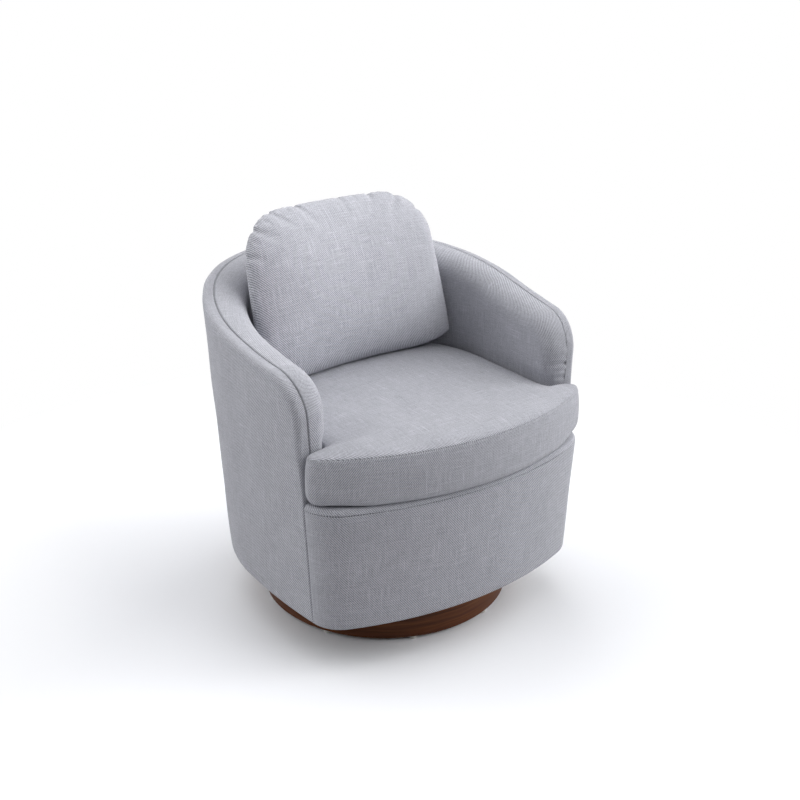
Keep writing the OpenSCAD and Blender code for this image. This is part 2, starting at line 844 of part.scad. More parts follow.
// The T's spine: what each point of the outline moves towards as the crown closes in
spine_share = 0.3;
spine_back = 80;
ear_mid = 25;
ear_turn = 30;
function spine(p) =
    let (ahead = -arm_front - ear_mid, w = smooth((abs(p[0]) - inner_r) / ear_turn))
        [spine_share * p[0], mix(max(min(p[1], spine_back), ahead), ahead, w)];
function ring_at(points, share, z) = [
    for (i = [len(points) - 1:-1:0])
        let (p = mix(spine(points[i]), points[i], share)) [p[0], p[1], z]
];

cushion_z = deck_z;
seam_z = deck_z + cushion_h;
crown_shares = [[0.985, 0.32], [0.93, 0.55], [0.78, 0.86], [0.6, 1]];
belly_shares = [[0.9, 0], [0.97, 0.02]];

vent_share = 0.05;
function cushion_rings(t, low_shares, top_shares) =
    let (
        base = cushion_outline(),
        seam = inset(base, cushion_bulge + t),
        belly = inset(base, t)
    ) concat(
        [for (u = low_shares) ring_at(seam, u[0], cushion_z + t + u[1] * cushion_h)],
        [
            ring_at(seam, 1, cushion_z + t + cushion_bulge),
            ring_at(belly, 1, mix(cushion_z, seam_z, 1 / 3)),
            ring_at(belly, 1, mix(cushion_z, seam_z, 2 / 3)),
            ring_at(seam, 1, seam_z - t)
        ],
        [for (u = top_shares) ring_at(seam, u[0], seam_z - t + u[1] * cushion_crown)]
    );
core_shares = [[0.93, 0.55], [0.6, 1]];

// The cover is one cloth from its inner face to its outer one, through a small vent underneath
module seat_cover() {
    low_shares = concat([[vent_share, 0]], belly_shares);
    color(cloth)
        loft(concat(
            reversed(cushion_rings(cover_t, low_shares, core_shares)),
            cushion_rings(0, low_shares, crown_shares)
        ));
}
module seat_core() {
    color(foam) loft(cushion_rings(cover_t + gap, belly_shares, core_shares));
}

// Pillow: a rounded outline in its own leaning plane, bent to the back, filled out from a knife edge
pillow_foot_r = 22;
pillow_top_draw = 14;
pillow_back = 145;
pillow_y = barrel_y + inner_r - pillow_back;
pillow_bend = 42;
pillow_z = seam_z + cushion_crown + gap;
pillow_shares = [1, 0.985, 0.93, 0.82, 0.64, 0.42, 0.2];
pillow_fill_power = 2.4;
pillow_edge_power = 0.6;
function pillow_half(t) =
    let (w = pillow_w / 2 - t, h = pillow_h - t, top_w = w - pillow_top_draw) concat(
        [for (i = [0:3]) [(w - pillow_foot_r) * i / 4, t]],
        [
            for (i = [0:3])
                let (a = 180 - 30 * i)
                    [w - pillow_foot_r, t + pillow_foot_r] + pillow_foot_r * [sin(a), cos(a)]
        ],
        [for (i = [1:3]) [mix(w, top_w, i / 4), mix(t + pillow_foot_r, h - pillow_r, i / 4)]],
        [
            for (i = [0:6])
                let (a = 90 - 15 * i)
                    [top_w - pillow_r, h - pillow_r] + pillow_r * [sin(a), cos(a)]
        ],
        [for (i = [1:3]) [(top_w - pillow_r) * (1 - i / 3), h]]
    );
function pillow_outline(t) =
    let (right = pillow_half(t)) concat(right, mirror_x([for (i = [1:len(right) - 2]) right[i]]));
function pillow_full(share, t) =
    (pillow_t / 2 - t) * pow(1 - pow(share, pillow_fill_power), pillow_edge_power);
function pillow_place(u, v, n) = [
    u,
    pillow_y + v * sin(pillow_lean) - n * cos(pillow_lean) - pillow_bend * pow(2 * u / pillow_w, 2),
    pillow_z + v * cos(pillow_lean) + n * sin(pillow_lean)
];
function pillow_ring(side, share, t) =
    let (c = [0, pillow_h / 2], n = side * pillow_full(share, t)) [
        for (p = pillow_outline(t))
            let (q = c + share * (p - c)) pillow_place(q[0], q[1], n)
    ];
module pillow(t) {
    last = len(pillow_shares) - 1;
    loft(concat(
        [for (i = [last:-1:1]) pillow_ring(-1, pillow_shares[i], t)],
        [for (i = [0:last]) pillow_ring(1, pillow_shares[i], t)]
    ));
}

module pillow_cover() {
    color(cloth)
        difference() {
            pillow(0);
            pillow(cover_t);
        }
}
module pillow_fill() {
    color([1, 1, 1]) pillow(cover_t + gap);
}

plinth_ring();
plinth_board();
plinth_blocks();
glides();
glide_nails();
lower_swivel_plate();
lower_plate_screws();
centre_rivet();
ball_cage();
bearing_balls();
upper_swivel_plate();
upper_plate_bolts();
tee_nuts();
base_board();
dust_cover();
lower_posts();
seat_frame();
front_rail();
springs();
spring_clips();
deck_pad();
deck_cover();
wall_posts();
top_rail();
outer_liner();
front_liner();
inner_liner();
wall_foam();
inside_cover();
arm_front_pads();
outside_cover();
front_cover();
seat_cover();
seat_core();
pillow_cover();
pillow_fill();
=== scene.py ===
# %% [markdown]
# # Swivel barrel chair
#
# The chair is a padded tub on a round plinth. Frame, boards, springs and swivel come from the CAD model as they
# are, and the cloth is made here. Lengths are metres, +Z is up, the swivel axis is Z and the chair faces -Y.

# %% Load the frame
import math
import bmesh
import bpy
import numpy as np
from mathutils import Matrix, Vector


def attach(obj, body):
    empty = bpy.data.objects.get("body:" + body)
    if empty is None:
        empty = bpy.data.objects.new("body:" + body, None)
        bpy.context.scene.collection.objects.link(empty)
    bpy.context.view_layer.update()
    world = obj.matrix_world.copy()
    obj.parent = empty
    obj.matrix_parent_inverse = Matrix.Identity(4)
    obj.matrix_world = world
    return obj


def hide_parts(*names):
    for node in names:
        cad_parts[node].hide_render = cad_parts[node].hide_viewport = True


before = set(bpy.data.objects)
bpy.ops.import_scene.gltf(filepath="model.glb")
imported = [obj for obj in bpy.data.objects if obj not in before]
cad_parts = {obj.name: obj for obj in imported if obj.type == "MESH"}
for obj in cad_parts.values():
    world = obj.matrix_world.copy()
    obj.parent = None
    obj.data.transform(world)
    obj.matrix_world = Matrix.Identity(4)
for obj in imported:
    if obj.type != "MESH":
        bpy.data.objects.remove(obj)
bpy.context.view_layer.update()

# %% [markdown]
# ## Camera
#
# The photograph was taken from above the seat and to the left of the chair's front. A camera is set by the
# point that it looks at, its distance, and two angles. Azimuth 0 would look along +Y.

# %% Camera
AZIMUTH, ELEVATION, DISTANCE = math.radians(-34.331), math.radians(22.136), 2.4835
LOOK_AT = Vector((0.0389, 0.0, 0.4017))
FOCAL_PX, FRAME_PX, SENSOR_MM = 1200.0, 800, 36.0

eye = LOOK_AT + DISTANCE * Vector((
    math.sin(AZIMUTH) * math.cos(ELEVATION),
    -math.cos(AZIMUTH) * math.cos(ELEVATION),
    math.sin(ELEVATION)))
camera_data = bpy.data.cameras.new("camera")
camera_data.sensor_width = SENSOR_MM
camera_data.lens = FOCAL_PX / FRAME_PX * SENSOR_MM
camera = bpy.data.objects.new("camera", camera_data)
camera.location = eye
camera.rotation_euler = (LOOK_AT - eye).to_track_quat("-Z", "Y").to_euler()
bpy.context.scene.collection.objects.link(camera)
bpy.context.scene.camera = camera
print("camera", [round(v, 3) for v in eye], "lens", round(camera_data.lens, 2))

# %% [markdown]
# ## Shader maths in plain Python
#
# A node graph is easier to read as an expression. `Sock` wraps one output socket, and its operators add Math
# nodes. Any other node comes from `Graph.node`.

# %% Shader helpers
class Sock:
    def __init__(self, graph, socket):
        self.graph, self.socket = graph, socket

    def math(self, operation, *others):
        return self.graph.node("ShaderNodeMath", {"operation": operation}, self, *others)

    def __add__(self, other): return self.math("ADD", other)
    def __radd__(self, other): return self.math("ADD", other)
    def __sub__(self, other): return self.math("SUBTRACT", other)
    def __mul__(self, other): return self.math("MULTIPLY", other)
    def __truediv__(self, other): return self.math("DIVIDE", other)
    def __pow__(self, other): return self.math("POWER", other)
    def sin(self): return self.math("SINE")
    def fract(self): return self.math("FRACT")
    def abs(self): return self.math("ABSOLUTE")
    def clip(self): return self.graph.node("ShaderNodeClamp", {}, self, 0.0, 1.0)


class Graph:
    def __init__(self, owner):
        """The owner is the name of a new material, or a world."""
        self.owner = bpy.data.materials.new(owner) if isinstance(owner, str) else owner
        self.owner.use_nodes = True
        self.tree = self.owner.node_tree
        self.tree.nodes.clear()

    def node(self, kind, settings, *inputs, out=0, **named):
        """One node: its settings first, then its inputs by place or by name, then the output that is wanted."""
        made = self.tree.nodes.new(kind)
        for key, value in settings.items():
            if key == "stops":
                ramp = made.color_ramp
                while len(ramp.elements) < len(value):
                    ramp.elements.new(1.0)
                for element, (place, colour) in zip(ramp.elements, value):
                    element.position, element.color = place, (*colour, 1.0)
            else:
                setattr(made, key, value)
        for key, value in list(enumerate(inputs)) + list(named.items()):
            if value is None:
                continue
            socket = made.inputs[key.replace("_", " ") if isinstance(key, str) else key]
            if isinstance(value, Sock):
                self.tree.links.new(value.socket, socket)
            else:
                socket.default_value = value
        return Sock(self, made.outputs[out]) if made.outputs else None

    def mix(self, share, a, b):
        """Colour b laid over colour a by share."""
        made = self.tree.nodes.new("ShaderNodeMix")
        made.data_type = "RGBA"
        for place, value in ((0, share), (6, a), (7, b)):
            if isinstance(value, Sock):
                self.tree.links.new(value.socket, made.inputs[place])
            else:
                made.inputs[place].default_value = value if place == 0 else (*value, 1.0)
        return Sock(self, made.outputs[2])

    def noise(self, vector, scale, detail=2.0, rough=0.5):
        return self.node("ShaderNodeTexNoise", {}, Vector=vector, Scale=scale, Detail=detail, Roughness=rough)

    def grain(self, vector, scale, detail=2.0, rough=0.5):
        """Noise with a scale of its own along each axis."""
        return self.noise(self.node("ShaderNodeMapping", {}, vector, None, None, scale), 1.0, detail, rough)

    def place(self):
        """The place on the object, in metres."""
        return self.node("ShaderNodeTexCoord", {}, out=3)

    def parts(self, vector, count=3):
        return [self.node("ShaderNodeSeparateXYZ", {}, vector, out=k) for k in range(count)]

    def finish(self, **sockets):
        """The surface: one Principled shader fed by these sockets."""
        shader = self.node("ShaderNodeBsdfPrincipled", {}, **sockets)
        self.node("ShaderNodeOutputMaterial", {}, shader)
        return self.owner

    def bump(self, height, distance, strength=1.0):
        return self.node("ShaderNodeBump", {}, Height=height, Distance=distance, Strength=strength)

# %% [markdown]
# ## Meshes from grids
#
# Every new piece is worked out as grids of points: a formula gives all places of a grid at once. A grid carries its
# own cloth coordinates in metres, so that the weave runs true to size along the surface. Grids that share an edge
# are joined by merging the points that fall together.

# %% Grid helpers
MM = 0.001
MERGE = 2e-5


def link(name, mesh, material):
    thing = bpy.data.objects.new(name, mesh)
    bpy.context.scene.collection.objects.link(thing)
    mesh.materials.append(material)
    return thing


def close_mesh(mesh, merge=None, outside=None):
    """Merges points that fall together, turns the faces outwards and shades them smooth."""
    work = bmesh.new()
    work.from_mesh(mesh)
    if merge:
        bmesh.ops.remove_doubles(work, verts=work.verts, dist=merge)
    bmesh.ops.recalc_face_normals(work, faces=work.faces)
    if outside is not None:
        centres = np.array([f.calc_center_median() for f in work.faces])
        normals = np.array([f.normal for f in work.faces])
        if (normals * outside(centres)).sum() < 0:
            bmesh.ops.reverse_faces(work, faces=work.faces)
    work.to_mesh(mesh)
    work.free()
    mesh.polygons.foreach_set("use_smooth", np.ones(len(mesh.polygons), dtype=bool))


def grid_piece(name, grids, material, outside=None):
    """One mesh from (points, cloth) grids of n x m places. `outside` gives, for face centres, the direction that
    counts as outwards, and the faces are turned to it. A closed skin needs none."""
    points = np.concatenate([p.reshape(-1, 3) for p, _ in grids])
    quads, cloth, first = [], [], 0
    for p, uv in grids:
        n, m = p.shape[:2]
        i = first + np.arange(n * m).reshape(n, m)
        q = np.stack([i[:-1, :-1], i[1:, :-1], i[1:, 1:], i[:-1, 1:]], -1).reshape(-1, 4)
        quads.append(q)
        cloth.append(uv.reshape(-1, 2)[q - first])
        first += n * m
    quads, cloth = np.concatenate(quads), np.concatenate(cloth)
    mesh = bpy.data.meshes.new(name)
    mesh.from_pydata(points.tolist(), [], quads.tolist())
    mesh.uv_layers.new(name="cloth").data.foreach_set("uv", cloth.astype(np.float32).ravel())
    close_mesh(mesh, MERGE, outside)
    thing = link(name, mesh, material)
    print(name, len(mesh.polygons), "faces")
    return thing


def thicken(thing, thickness):
    """Gives a sheet its wall on the side away from its faces."""
    wall = thing.modifiers.new("wall", "SOLIDIFY")
    wall.thickness, wall.offset, wall.use_rim = thickness, -1.0, True


def smooth_step(u):
    """0 below 0, 1 above 1, and an even S between them."""
    u = np.clip(u, 0.0, 1.0)
    return u * u * (3 - 2 * u)


def mix(a, b, u):
    """From a at u = 0 to b at u = 1."""
    return a + (b - a) * u


def unit(a):
    return a / np.maximum(np.linalg.norm(a, axis=-1, keepdims=True), 1e-12)


def run_of(points):
    """How far along a line of points each of them lies."""
    return np.concatenate([[0], np.cumsum(np.linalg.norm(np.diff(points, axis=0), axis=1))])


def lumps(a, b, wide, fine):
    """Soft unevenness over a and b: a wide wave (height in mm, rate, start, rate, start) and a fine one."""
    height, rate_a, start_a, rate_b, start_b = wide
    low, fine_a, fine_b = fine
    return (height * MM * np.sin(a * rate_a + start_a) * np.sin(b * rate_b + start_b)
            + low * MM * np.sin(a * fine_a + b * fine_b))

# %% [markdown]
# ## Cloth material
#
# The upholstery is a heathered twill in pale blue-grey. Close up, light and dark yarns cross, and a diagonal rib
# runs over them. Thicker yarns leave upright and level streaks, and the tone drifts a little over a hand's width.
# The weave is drawn on each piece's own cloth coordinates, so it follows the surface round every turn.

# %% Cloth
RIB = 1 / 0.0042  # diagonal ribs per metre
YARN = 1 / 0.0021  # yarns per metre


def cloth_material(name, dark, light):
    g = Graph(name)
    uv = g.node("ShaderNodeUVMap", {"uv_map": "cloth"})
    across, up = g.parts(uv, 2)
    wander = g.noise(uv, 60.0, 1.0) * 0.0011
    rib = ((across + up * 0.8 + wander) * (RIB * 2 * math.pi)).sin() * 0.5 + 0.5
    warp = ((across + wander) * (YARN * 2 * math.pi)).sin() * 0.5 + 0.5
    weft = ((up - wander) * (YARN * 2 * math.pi)).sin() * 0.5 + 0.5
    upright, level = (g.grain(uv, scale, 2.0, 0.6) for scale in ((900, 40, 1), (40, 900, 1)))
    streak_up, streak_level = (g.grain(uv, scale, 3.0, 0.6) for scale in ((330, 14, 1), (14, 330, 1)))
    fleck = g.noise(uv, 620.0, 2.0, 0.6)
    drift = g.noise(uv, 14.0, 2.0)
    slub = ((streak_up - 0.60) * 4.0).clip() + ((streak_level - 0.62) * 4.0).clip()
    tone = (rib * 0.56 + (warp + weft) * 0.10 + (upright + level - 1.0) * 0.42 + (fleck - 0.5) * 0.8
            + (streak_up + streak_level - 1.0) * 0.22 + slub * 0.24 + (drift - 0.5) * 0.10 + 0.10)
    colour = g.mix(tone.clip(), dark, light)
    height = rib * 0.6 + (warp + weft) * 0.25 + (upright + level) * 0.35
    return g.finish(Base_Color=colour, Roughness=0.92, Normal=g.bump(height, 0.0006, 0.7),
                    Specular_IOR_Level=0.25, Sheen_Weight=0.12, Sheen_Roughness=0.5)


upholstery = cloth_material("upholstery", (0.135, 0.137, 0.160), (0.700, 0.708, 0.770))
decking = cloth_material("deck_cloth", (0.20, 0.205, 0.235), (0.36, 0.365, 0.40))
print("cloth:", upholstery.name, decking.name)

# %% [markdown]
# ## The tub's wall as a map
#
# Outside and inside cloth both hang on one wall. A place on it is (s, z, d): s runs from 0 at the middle of the
# back to the front of either arm, z is the height, and d the depth under the outside face. One function turns the
# three into x, y and z.

# %% Wall map
RIM_R, FOOT_R, INNER_R = 0.351, 0.320, 0.263
BARREL_Y, ARM_FRONT, SIDE_DRAW = 0.014, 0.211, 0.017
FORWARD = ARM_FRONT + BARREL_Y
SIDE_R = (FORWARD ** 2 + SIDE_DRAW ** 2) / (2 * SIDE_DRAW)
ARC = RIM_R * math.pi / 2
S_END = ARC + FORWARD
BODY_Z, DECK_Z, RIM_BACK, RIM_FRONT = 0.092, 0.352, 0.674, 0.586
CORNER_R, SEAM_IN, EDGE_R = 0.075, 0.022, 0.012
HEM_R, HEM_BACK_R, HEM_FROM = 0.011, 0.027, 0.25  # the hem rounds off less from HEM_FROM on towards the front
HEM_FLAT = 0.012  # cloth that is turned in under the tub
SEAT_CREST = 0.452
ROLL_DROP, ROLL_RISE = 0.040, 0.0022
ARM_FULL = 0.007  # near the front, the inside of an arm swells by this
CLOTH_THICK = 2.0 * MM


def tub_r(z):
    """The tub's radius at height z: it flares evenly from the foot to the rim."""
    return FOOT_R + (RIM_R - FOOT_R) * np.clip((z - BODY_Z) / (RIM_BACK - BODY_Z), 0, 1)


def arc_and_side(s):
    """The turn round the back, and how far on along the side."""
    return np.clip(np.abs(s) / RIM_R, 0, math.pi / 2), np.maximum(np.abs(s) - ARC, 0)


def wall_ends(s, z):
    """Outside and inside of the wall in plan: an arc round the back, then a side that draws in a little."""
    side, (a, f) = np.sign(s), arc_and_side(s)
    draw = SIDE_R - np.sqrt(SIDE_R ** 2 - f ** 2)
    r = tub_r(z)
    full = ARM_FULL * smooth_step(f / FORWARD) * smooth_step((z - SEAT_CREST) / 0.03)
    outer = np.stack([side * (r * np.sin(a) - draw), BARREL_Y + r * np.cos(a) - f], -1)
    inner = np.stack([side * (INNER_R * np.sin(a) - full), BARREL_Y + INNER_R * np.cos(a) - f], -1)
    return outer, inner


def wall(s, z, d):
    """The place d deep under the outside face, on the level line towards the inside face."""
    s, z, d = np.broadcast_arrays(s, z, d)
    outer, inner = wall_ends(s, z)
    return np.concatenate([outer + unit(inner - outer) * d[..., None], z[..., None]], -1)


def wall_depth(s, z):
    outer, inner = wall_ends(s, z)
    return np.linalg.norm(inner - outer, axis=-1)


def rim_height(s):
    """The rim falls in an S from the back to the arms."""
    a, f = arc_and_side(s)
    y = BARREL_Y + RIM_R * np.cos(a) - f
    return mix(RIM_FRONT, RIM_BACK, smooth_step((y + ARM_FRONT) / (BARREL_Y + RIM_R + ARM_FRONT)))


def rim_path(arc_steps=72, side_steps=20, corner_steps=22):
    """Stations of the rim from arm to arm: (s, z, turn). turn grows from 0 to a right angle on an arm's corner."""
    flat = np.concatenate([np.linspace(0, ARC, arc_steps + 1),
                           np.linspace(ARC, S_END - CORNER_R, side_steps + 1)[1:]])
    turn = np.linspace(0, math.pi / 2, corner_steps + 1)[1:]
    s = np.concatenate([flat, S_END - CORNER_R + CORNER_R * np.sin(turn)])
    turn = np.concatenate([np.zeros(len(flat)), turn])
    z = rim_height(s) - CORNER_R * (1 - np.cos(turn))
    return (np.concatenate([-s[:0:-1], s]), np.concatenate([z[:0:-1], z]), np.concatenate([turn[:0:-1], turn]))


path_s, path_z, path_turn = rim_path()
ARM_Z = path_z[-1]
print("rim stations", len(path_s), "arm corner ends at z", round(float(ARM_Z), 3))

# %% [markdown]
# ## Outside cloth
#
# One cloth covers the outside from the hem to the rim, turns over the edge and ends in a seam 22 mm in. At the
# arm it turns over the front in the same way. The face is a grid of columns and rows, and the turned edge is a
# second grid: a quarter round and a flat, carried along the whole border from one hem to the other.

# %% Outside cloth
NEAR_FRONT, TIGHT_EDGE = 0.07, 3.5 * MM
TUCK_DEEP = np.array([-0.6, -0.2, 0.0, 0.0]) * MM  # the last four places of the turned edge sink into the seam
TUCK_DOWN = np.array([0.0, -0.05, -0.2, -0.7]) * MM


def below_rim(drop, edge_at, rows_upper, z_low):
    """Columns from `drop` under the rim path to z_low. Near the arm the last columns follow edge_at(z)."""
    s_top = path_s - np.sign(path_s) * drop * np.sin(path_turn)
    z_top = path_z - drop * np.cos(path_turn)
    t = np.linspace(0, 1, rows_upper + 1)[:, None]
    z = mix(z_top[None], z_low, t)
    near = smooth_step((np.abs(s_top) - (S_END - NEAR_FRONT)) / (NEAR_FRONT - drop))
    shift = near * (drop - edge_at(z))
    return s_top[None] + np.sign(s_top)[None] * shift, z


def borders(*grids):
    """Of each grid the first column upwards, the top row and the last column downwards, as one line."""
    return [np.concatenate([grid[::-1, 0], grid[0, 1:-1], grid[:, -1]]) for grid in np.broadcast_arrays(*grids)]


def led_off(s, z, turn, way):
    """Places that lie `way` off a border: upwards at the rim, forwards at the arms' fronts."""
    return s[:, None] + (np.sign(s) * np.sin(turn))[:, None] * way, z[:, None] + np.cos(turn)[:, None] * way


def cloth_way(deep, out):
    """How far the cloth has run at each place of an edge that leads off a border."""
    return np.concatenate([np.zeros((len(deep), 1)), np.cumsum(np.hypot(np.diff(deep), np.diff(out)), 1)], 1)


def outer_edge(z):
    """Rounding of the arm's front edge: full size above the cushion, tight where the front panel starts."""
    return mix(TIGHT_EDGE, EDGE_R, smooth_step((z - DECK_Z) / (ARM_Z - DECK_Z)))


s_up, z_up = below_rim(EDGE_R, outer_edge, 44, DECK_Z)
low = np.linspace(0, 1, 27)[1:, None]
hem_turn = np.linspace(0, math.pi / 2, 9)[1:, None]
hem_r = mix(HEM_BACK_R, HEM_R, smooth_step((np.abs(s_up[-1]) - HEM_FROM) / (S_END - HEM_FROM)))[None]
z_low = mix(DECK_Z, BODY_Z + hem_r, low)
s_low = s_up[-1][None]
face_s = np.concatenate([s_up, np.repeat(s_low, len(low) + len(hem_turn) + 1, 0)])
face_z = np.concatenate([z_up, z_low, BODY_Z + hem_r * (1 - np.sin(hem_turn)),
                         np.full((1, s_up.shape[1]), BODY_Z)])
rows = face_z.shape[0]
hem = np.concatenate([np.zeros(rows - 9), hem_turn[:, 0], [math.pi / 2]])
face_d = hem_r * (1 - np.cos(hem))[:, None] + np.where(np.arange(rows) == rows - 1, HEM_FLAT, 0)[:, None]
lump = lumps(face_s, face_z, (0.5, 31, 1.3, 23, 0), (0.35, 67, 41)) * (hem[:, None] == 0)
cloth_down = hem_r * hem[:, None]
face = (wall(face_s, face_z, face_d + lump), np.stack([face_s, face_z - cloth_down], -1))

line_s, line_z, line_turn, line_d, line_hem, line_lump = borders(
    face_s, face_z, path_turn, face_d, hem[:, None], lump)
line_edge = np.where(line_turn < math.pi / 2, EDGE_R, outer_edge(line_z))
seam_depth = np.where((line_turn == math.pi / 2) & (line_z < DECK_Z - 0.002), line_edge + 5 * MM, SEAM_IN)

quarter = np.linspace(0, math.pi / 2, 9)
edge_h = np.concatenate([np.sin(quarter), np.ones(10)])
edge_round = np.concatenate([1 - np.cos(quarter), np.ones(10)])
flat_share = np.concatenate([np.zeros(9), np.linspace(0, 1, 8)[1:-1], np.ones(4)])
deep = (line_edge[:, None] * edge_round + (seam_depth - line_edge)[:, None] * flat_share
        + np.concatenate([np.zeros(15), TUCK_DEEP]))
out = line_edge[:, None] * edge_h + np.concatenate([np.zeros(15), TUCK_DOWN])
band_s, band_z = led_off(line_s, line_z, line_turn, out)
band_d = line_d[:, None] + line_lump[:, None] * (1 - flat_share) + deep * np.cos(line_hem)[:, None]
band = (wall(band_s, band_z + deep * np.sin(line_hem)[:, None], band_d),
        np.stack(led_off(line_s, line_z, line_turn, cloth_way(deep, out)), -1))

outside_cloth = grid_piece("outside_cloth", [face, band], upholstery, lambda centres: centres * [1, 1, 0])
thicken(outside_cloth, CLOTH_THICK)
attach(outside_cloth, "tub")
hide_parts("outside_cover")

# %% [markdown]
# ## Inside cloth
#
# The inside cloth starts in the seam, swells over a padded roll and runs down the inside wall behind the seat
# cushion. On the arm the same roll turns down the front. On the right arm the cloth bunches into a few small
# puckers beside the seam.

# %% Inside cloth
PUCKER_PITCH, PUCKER_DEEP, PUCKER_LOW, PUCKER_HIGH = 0.0150, 0.0034, 0.455, 0.530
FOOT_Z = 0.322  # the cloth ends a little under the deck
FULL = 0.8  # under 1, the roll is fuller than a plain quarter round

s_in, z_in = below_rim(ROLL_DROP, lambda z: np.full_like(z, ROLL_DROP), 54, FOOT_Z)
d_in = wall_depth(s_in, z_in) + lumps(s_in, z_in, (0.5, 19, 0.4, 17, 0), (0.3, 53, -37))
wall_in = (wall(s_in, z_in, d_in), np.stack([s_in, z_in], -1))
in_s, in_z, in_turn, in_d = borders(s_in, z_in, path_turn, d_in)

# The roll: a full quarter round whose two half-axes are the drop and what is left of the wall behind the seam
swing = np.linspace(0, math.pi / 2, 27)
lift = ROLL_DROP * np.sin(swing) ** FULL
reach = np.cos(swing) ** FULL
crest = np.where(in_turn < math.pi / 2, ROLL_RISE * (1 - in_turn / math.pi), ROLL_RISE * 0.4)
roll_h = lift[None] + crest[:, None] * np.sin(2 * swing)[None]
roll_d = SEAM_IN + (in_d - SEAM_IN)[:, None] * reach[None]
walked = run_of(np.stack([in_s, in_z], -1))
from_seam = np.hypot(roll_d - SEAM_IN, roll_h - ROLL_DROP)
low_arm = (smooth_step((in_z - PUCKER_LOW) / 0.010) * smooth_step((PUCKER_HIGH - in_z) / 0.02)
           * (in_turn > 1.2) * (in_s > 0))
wave = np.sin(walked / PUCKER_PITCH * 2 * math.pi) * 0.5 + 0.35 * np.sin(walked / PUCKER_PITCH * 3.3)
pucker = low_arm[:, None] * wave[:, None] * np.exp(-(from_seam / 0.030) ** 2) * smooth_step(from_seam / 0.008)
roll_h = roll_h + PUCKER_DEEP * pucker * np.sin(swing)
roll_d = roll_d + PUCKER_DEEP * pucker * np.cos(swing)
seam_d = SEAM_IN + np.array([0.15, 0.1, 0.1]) * MM
roll_h = np.concatenate([roll_h, np.broadcast_to(ROLL_DROP + TUCK_DOWN[1:], (len(in_s), 3))], 1)
roll_d = np.concatenate([roll_d, np.broadcast_to(seam_d, (len(in_s), 3))], 1)
roll = (wall(*led_off(in_s, in_z, in_turn, roll_h), roll_d),
        np.stack(led_off(in_s, in_z, in_turn, cloth_way(roll_d, roll_h)), -1))

# Outwards is towards the axis at the wall and upwards on the roll
inside_cloth = grid_piece("inside_cloth", [wall_in, roll], upholstery,
                          lambda centres: centres * [-1, -1, 0] + [0, 0, 0.15])
thicken(inside_cloth, CLOTH_THICK)
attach(inside_cloth, "tub")
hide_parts("inside_cover", "arm_front_pads", "wall_foam")

# %% [markdown]
# ## Front panel
#
# Below the seat a bowed panel closes the tub. In plan it is a small arc at each corner and one wide arc between
# them. It folds under at the hem and meets the side cloth in an upright seam. Just under the top edge a second
# seam joins it to the band that rolls over on to the deck. Each seam is a narrow groove in the one surface.

# %% Front panel
FRONT_CORNER_R, BOW_R, FRONT_EDGE_R, FRONT_RETURN, SEAM_R = 0.070, 0.720, 0.0105, 0.025, 0.0028
SEAM_DOWN = 0.012  # the seam lies this far under the deck
SEAM_FOLD = SEAM_R + 5 * MM
FACE_GAP = 0.2 * MM
START = math.pi / 2 + math.asin(FORWARD / SIDE_R)
side_in = SIDE_R - math.sqrt(SIDE_R ** 2 - FORWARD ** 2)
corner_at = np.array([FOOT_R - side_in - FRONT_CORNER_R * math.sin(START),
                      -ARM_FRONT - FRONT_CORNER_R * math.cos(START)])
BOW_Y = corner_at[1] + math.sqrt((BOW_R - FRONT_CORNER_R) ** 2 - corner_at[0] ** 2)
JOIN = math.atan2(corner_at[0], corner_at[1] - BOW_Y)
CORNER_LEN, BOW_LEN = FRONT_CORNER_R * (JOIN - START), BOW_R * (math.pi - JOIN)
HALF_FRONT = CORNER_LEN + BOW_LEN


def front(q, z, d):
    """q is how far along the front it lies from the middle, z its height and d its depth behind the face."""
    q, z, d = np.broadcast_arrays(q, z, d)
    back = HALF_FRONT - np.abs(q)
    on_corner = back < CORNER_LEN
    a = np.where(on_corner, START + back / FRONT_CORNER_R, JOIN + (back - CORNER_LEN) / BOW_R)
    push = tub_r(z) - FOOT_R - d
    r = np.where(on_corner, FRONT_CORNER_R, BOW_R) + push
    cx = np.where(on_corner, corner_at[0], 0.0)
    cy = np.where(on_corner, corner_at[1], BOW_Y)
    y = np.minimum(cy + r * np.cos(a), -ARM_FRONT - FACE_GAP)
    return np.stack([np.sign(q) * (cx + r * np.sin(a)), y, z], -1)


ends = SEAM_R * (1 - np.cos(np.linspace(0, math.pi / 2, 7)))
half = np.concatenate([ends[:-1], np.linspace(SEAM_R, CORNER_LEN, 16)[:-1],
                       np.linspace(CORNER_LEN, HALF_FRONT, 56)])
q_front = np.concatenate([half - HALF_FRONT, (HALF_FRONT - half)[::-1][1:]])
past = np.maximum(SEAM_R - (HALF_FRONT - np.abs(q_front)), 0)
turned_in = SEAM_R - np.sqrt(np.maximum(SEAM_R ** 2 - past ** 2, 0))
q_front = np.concatenate([[q_front[0]], q_front, [q_front[-1]]])
turned_in = np.concatenate([[SEAM_FOLD], turned_in, [SEAM_FOLD]])

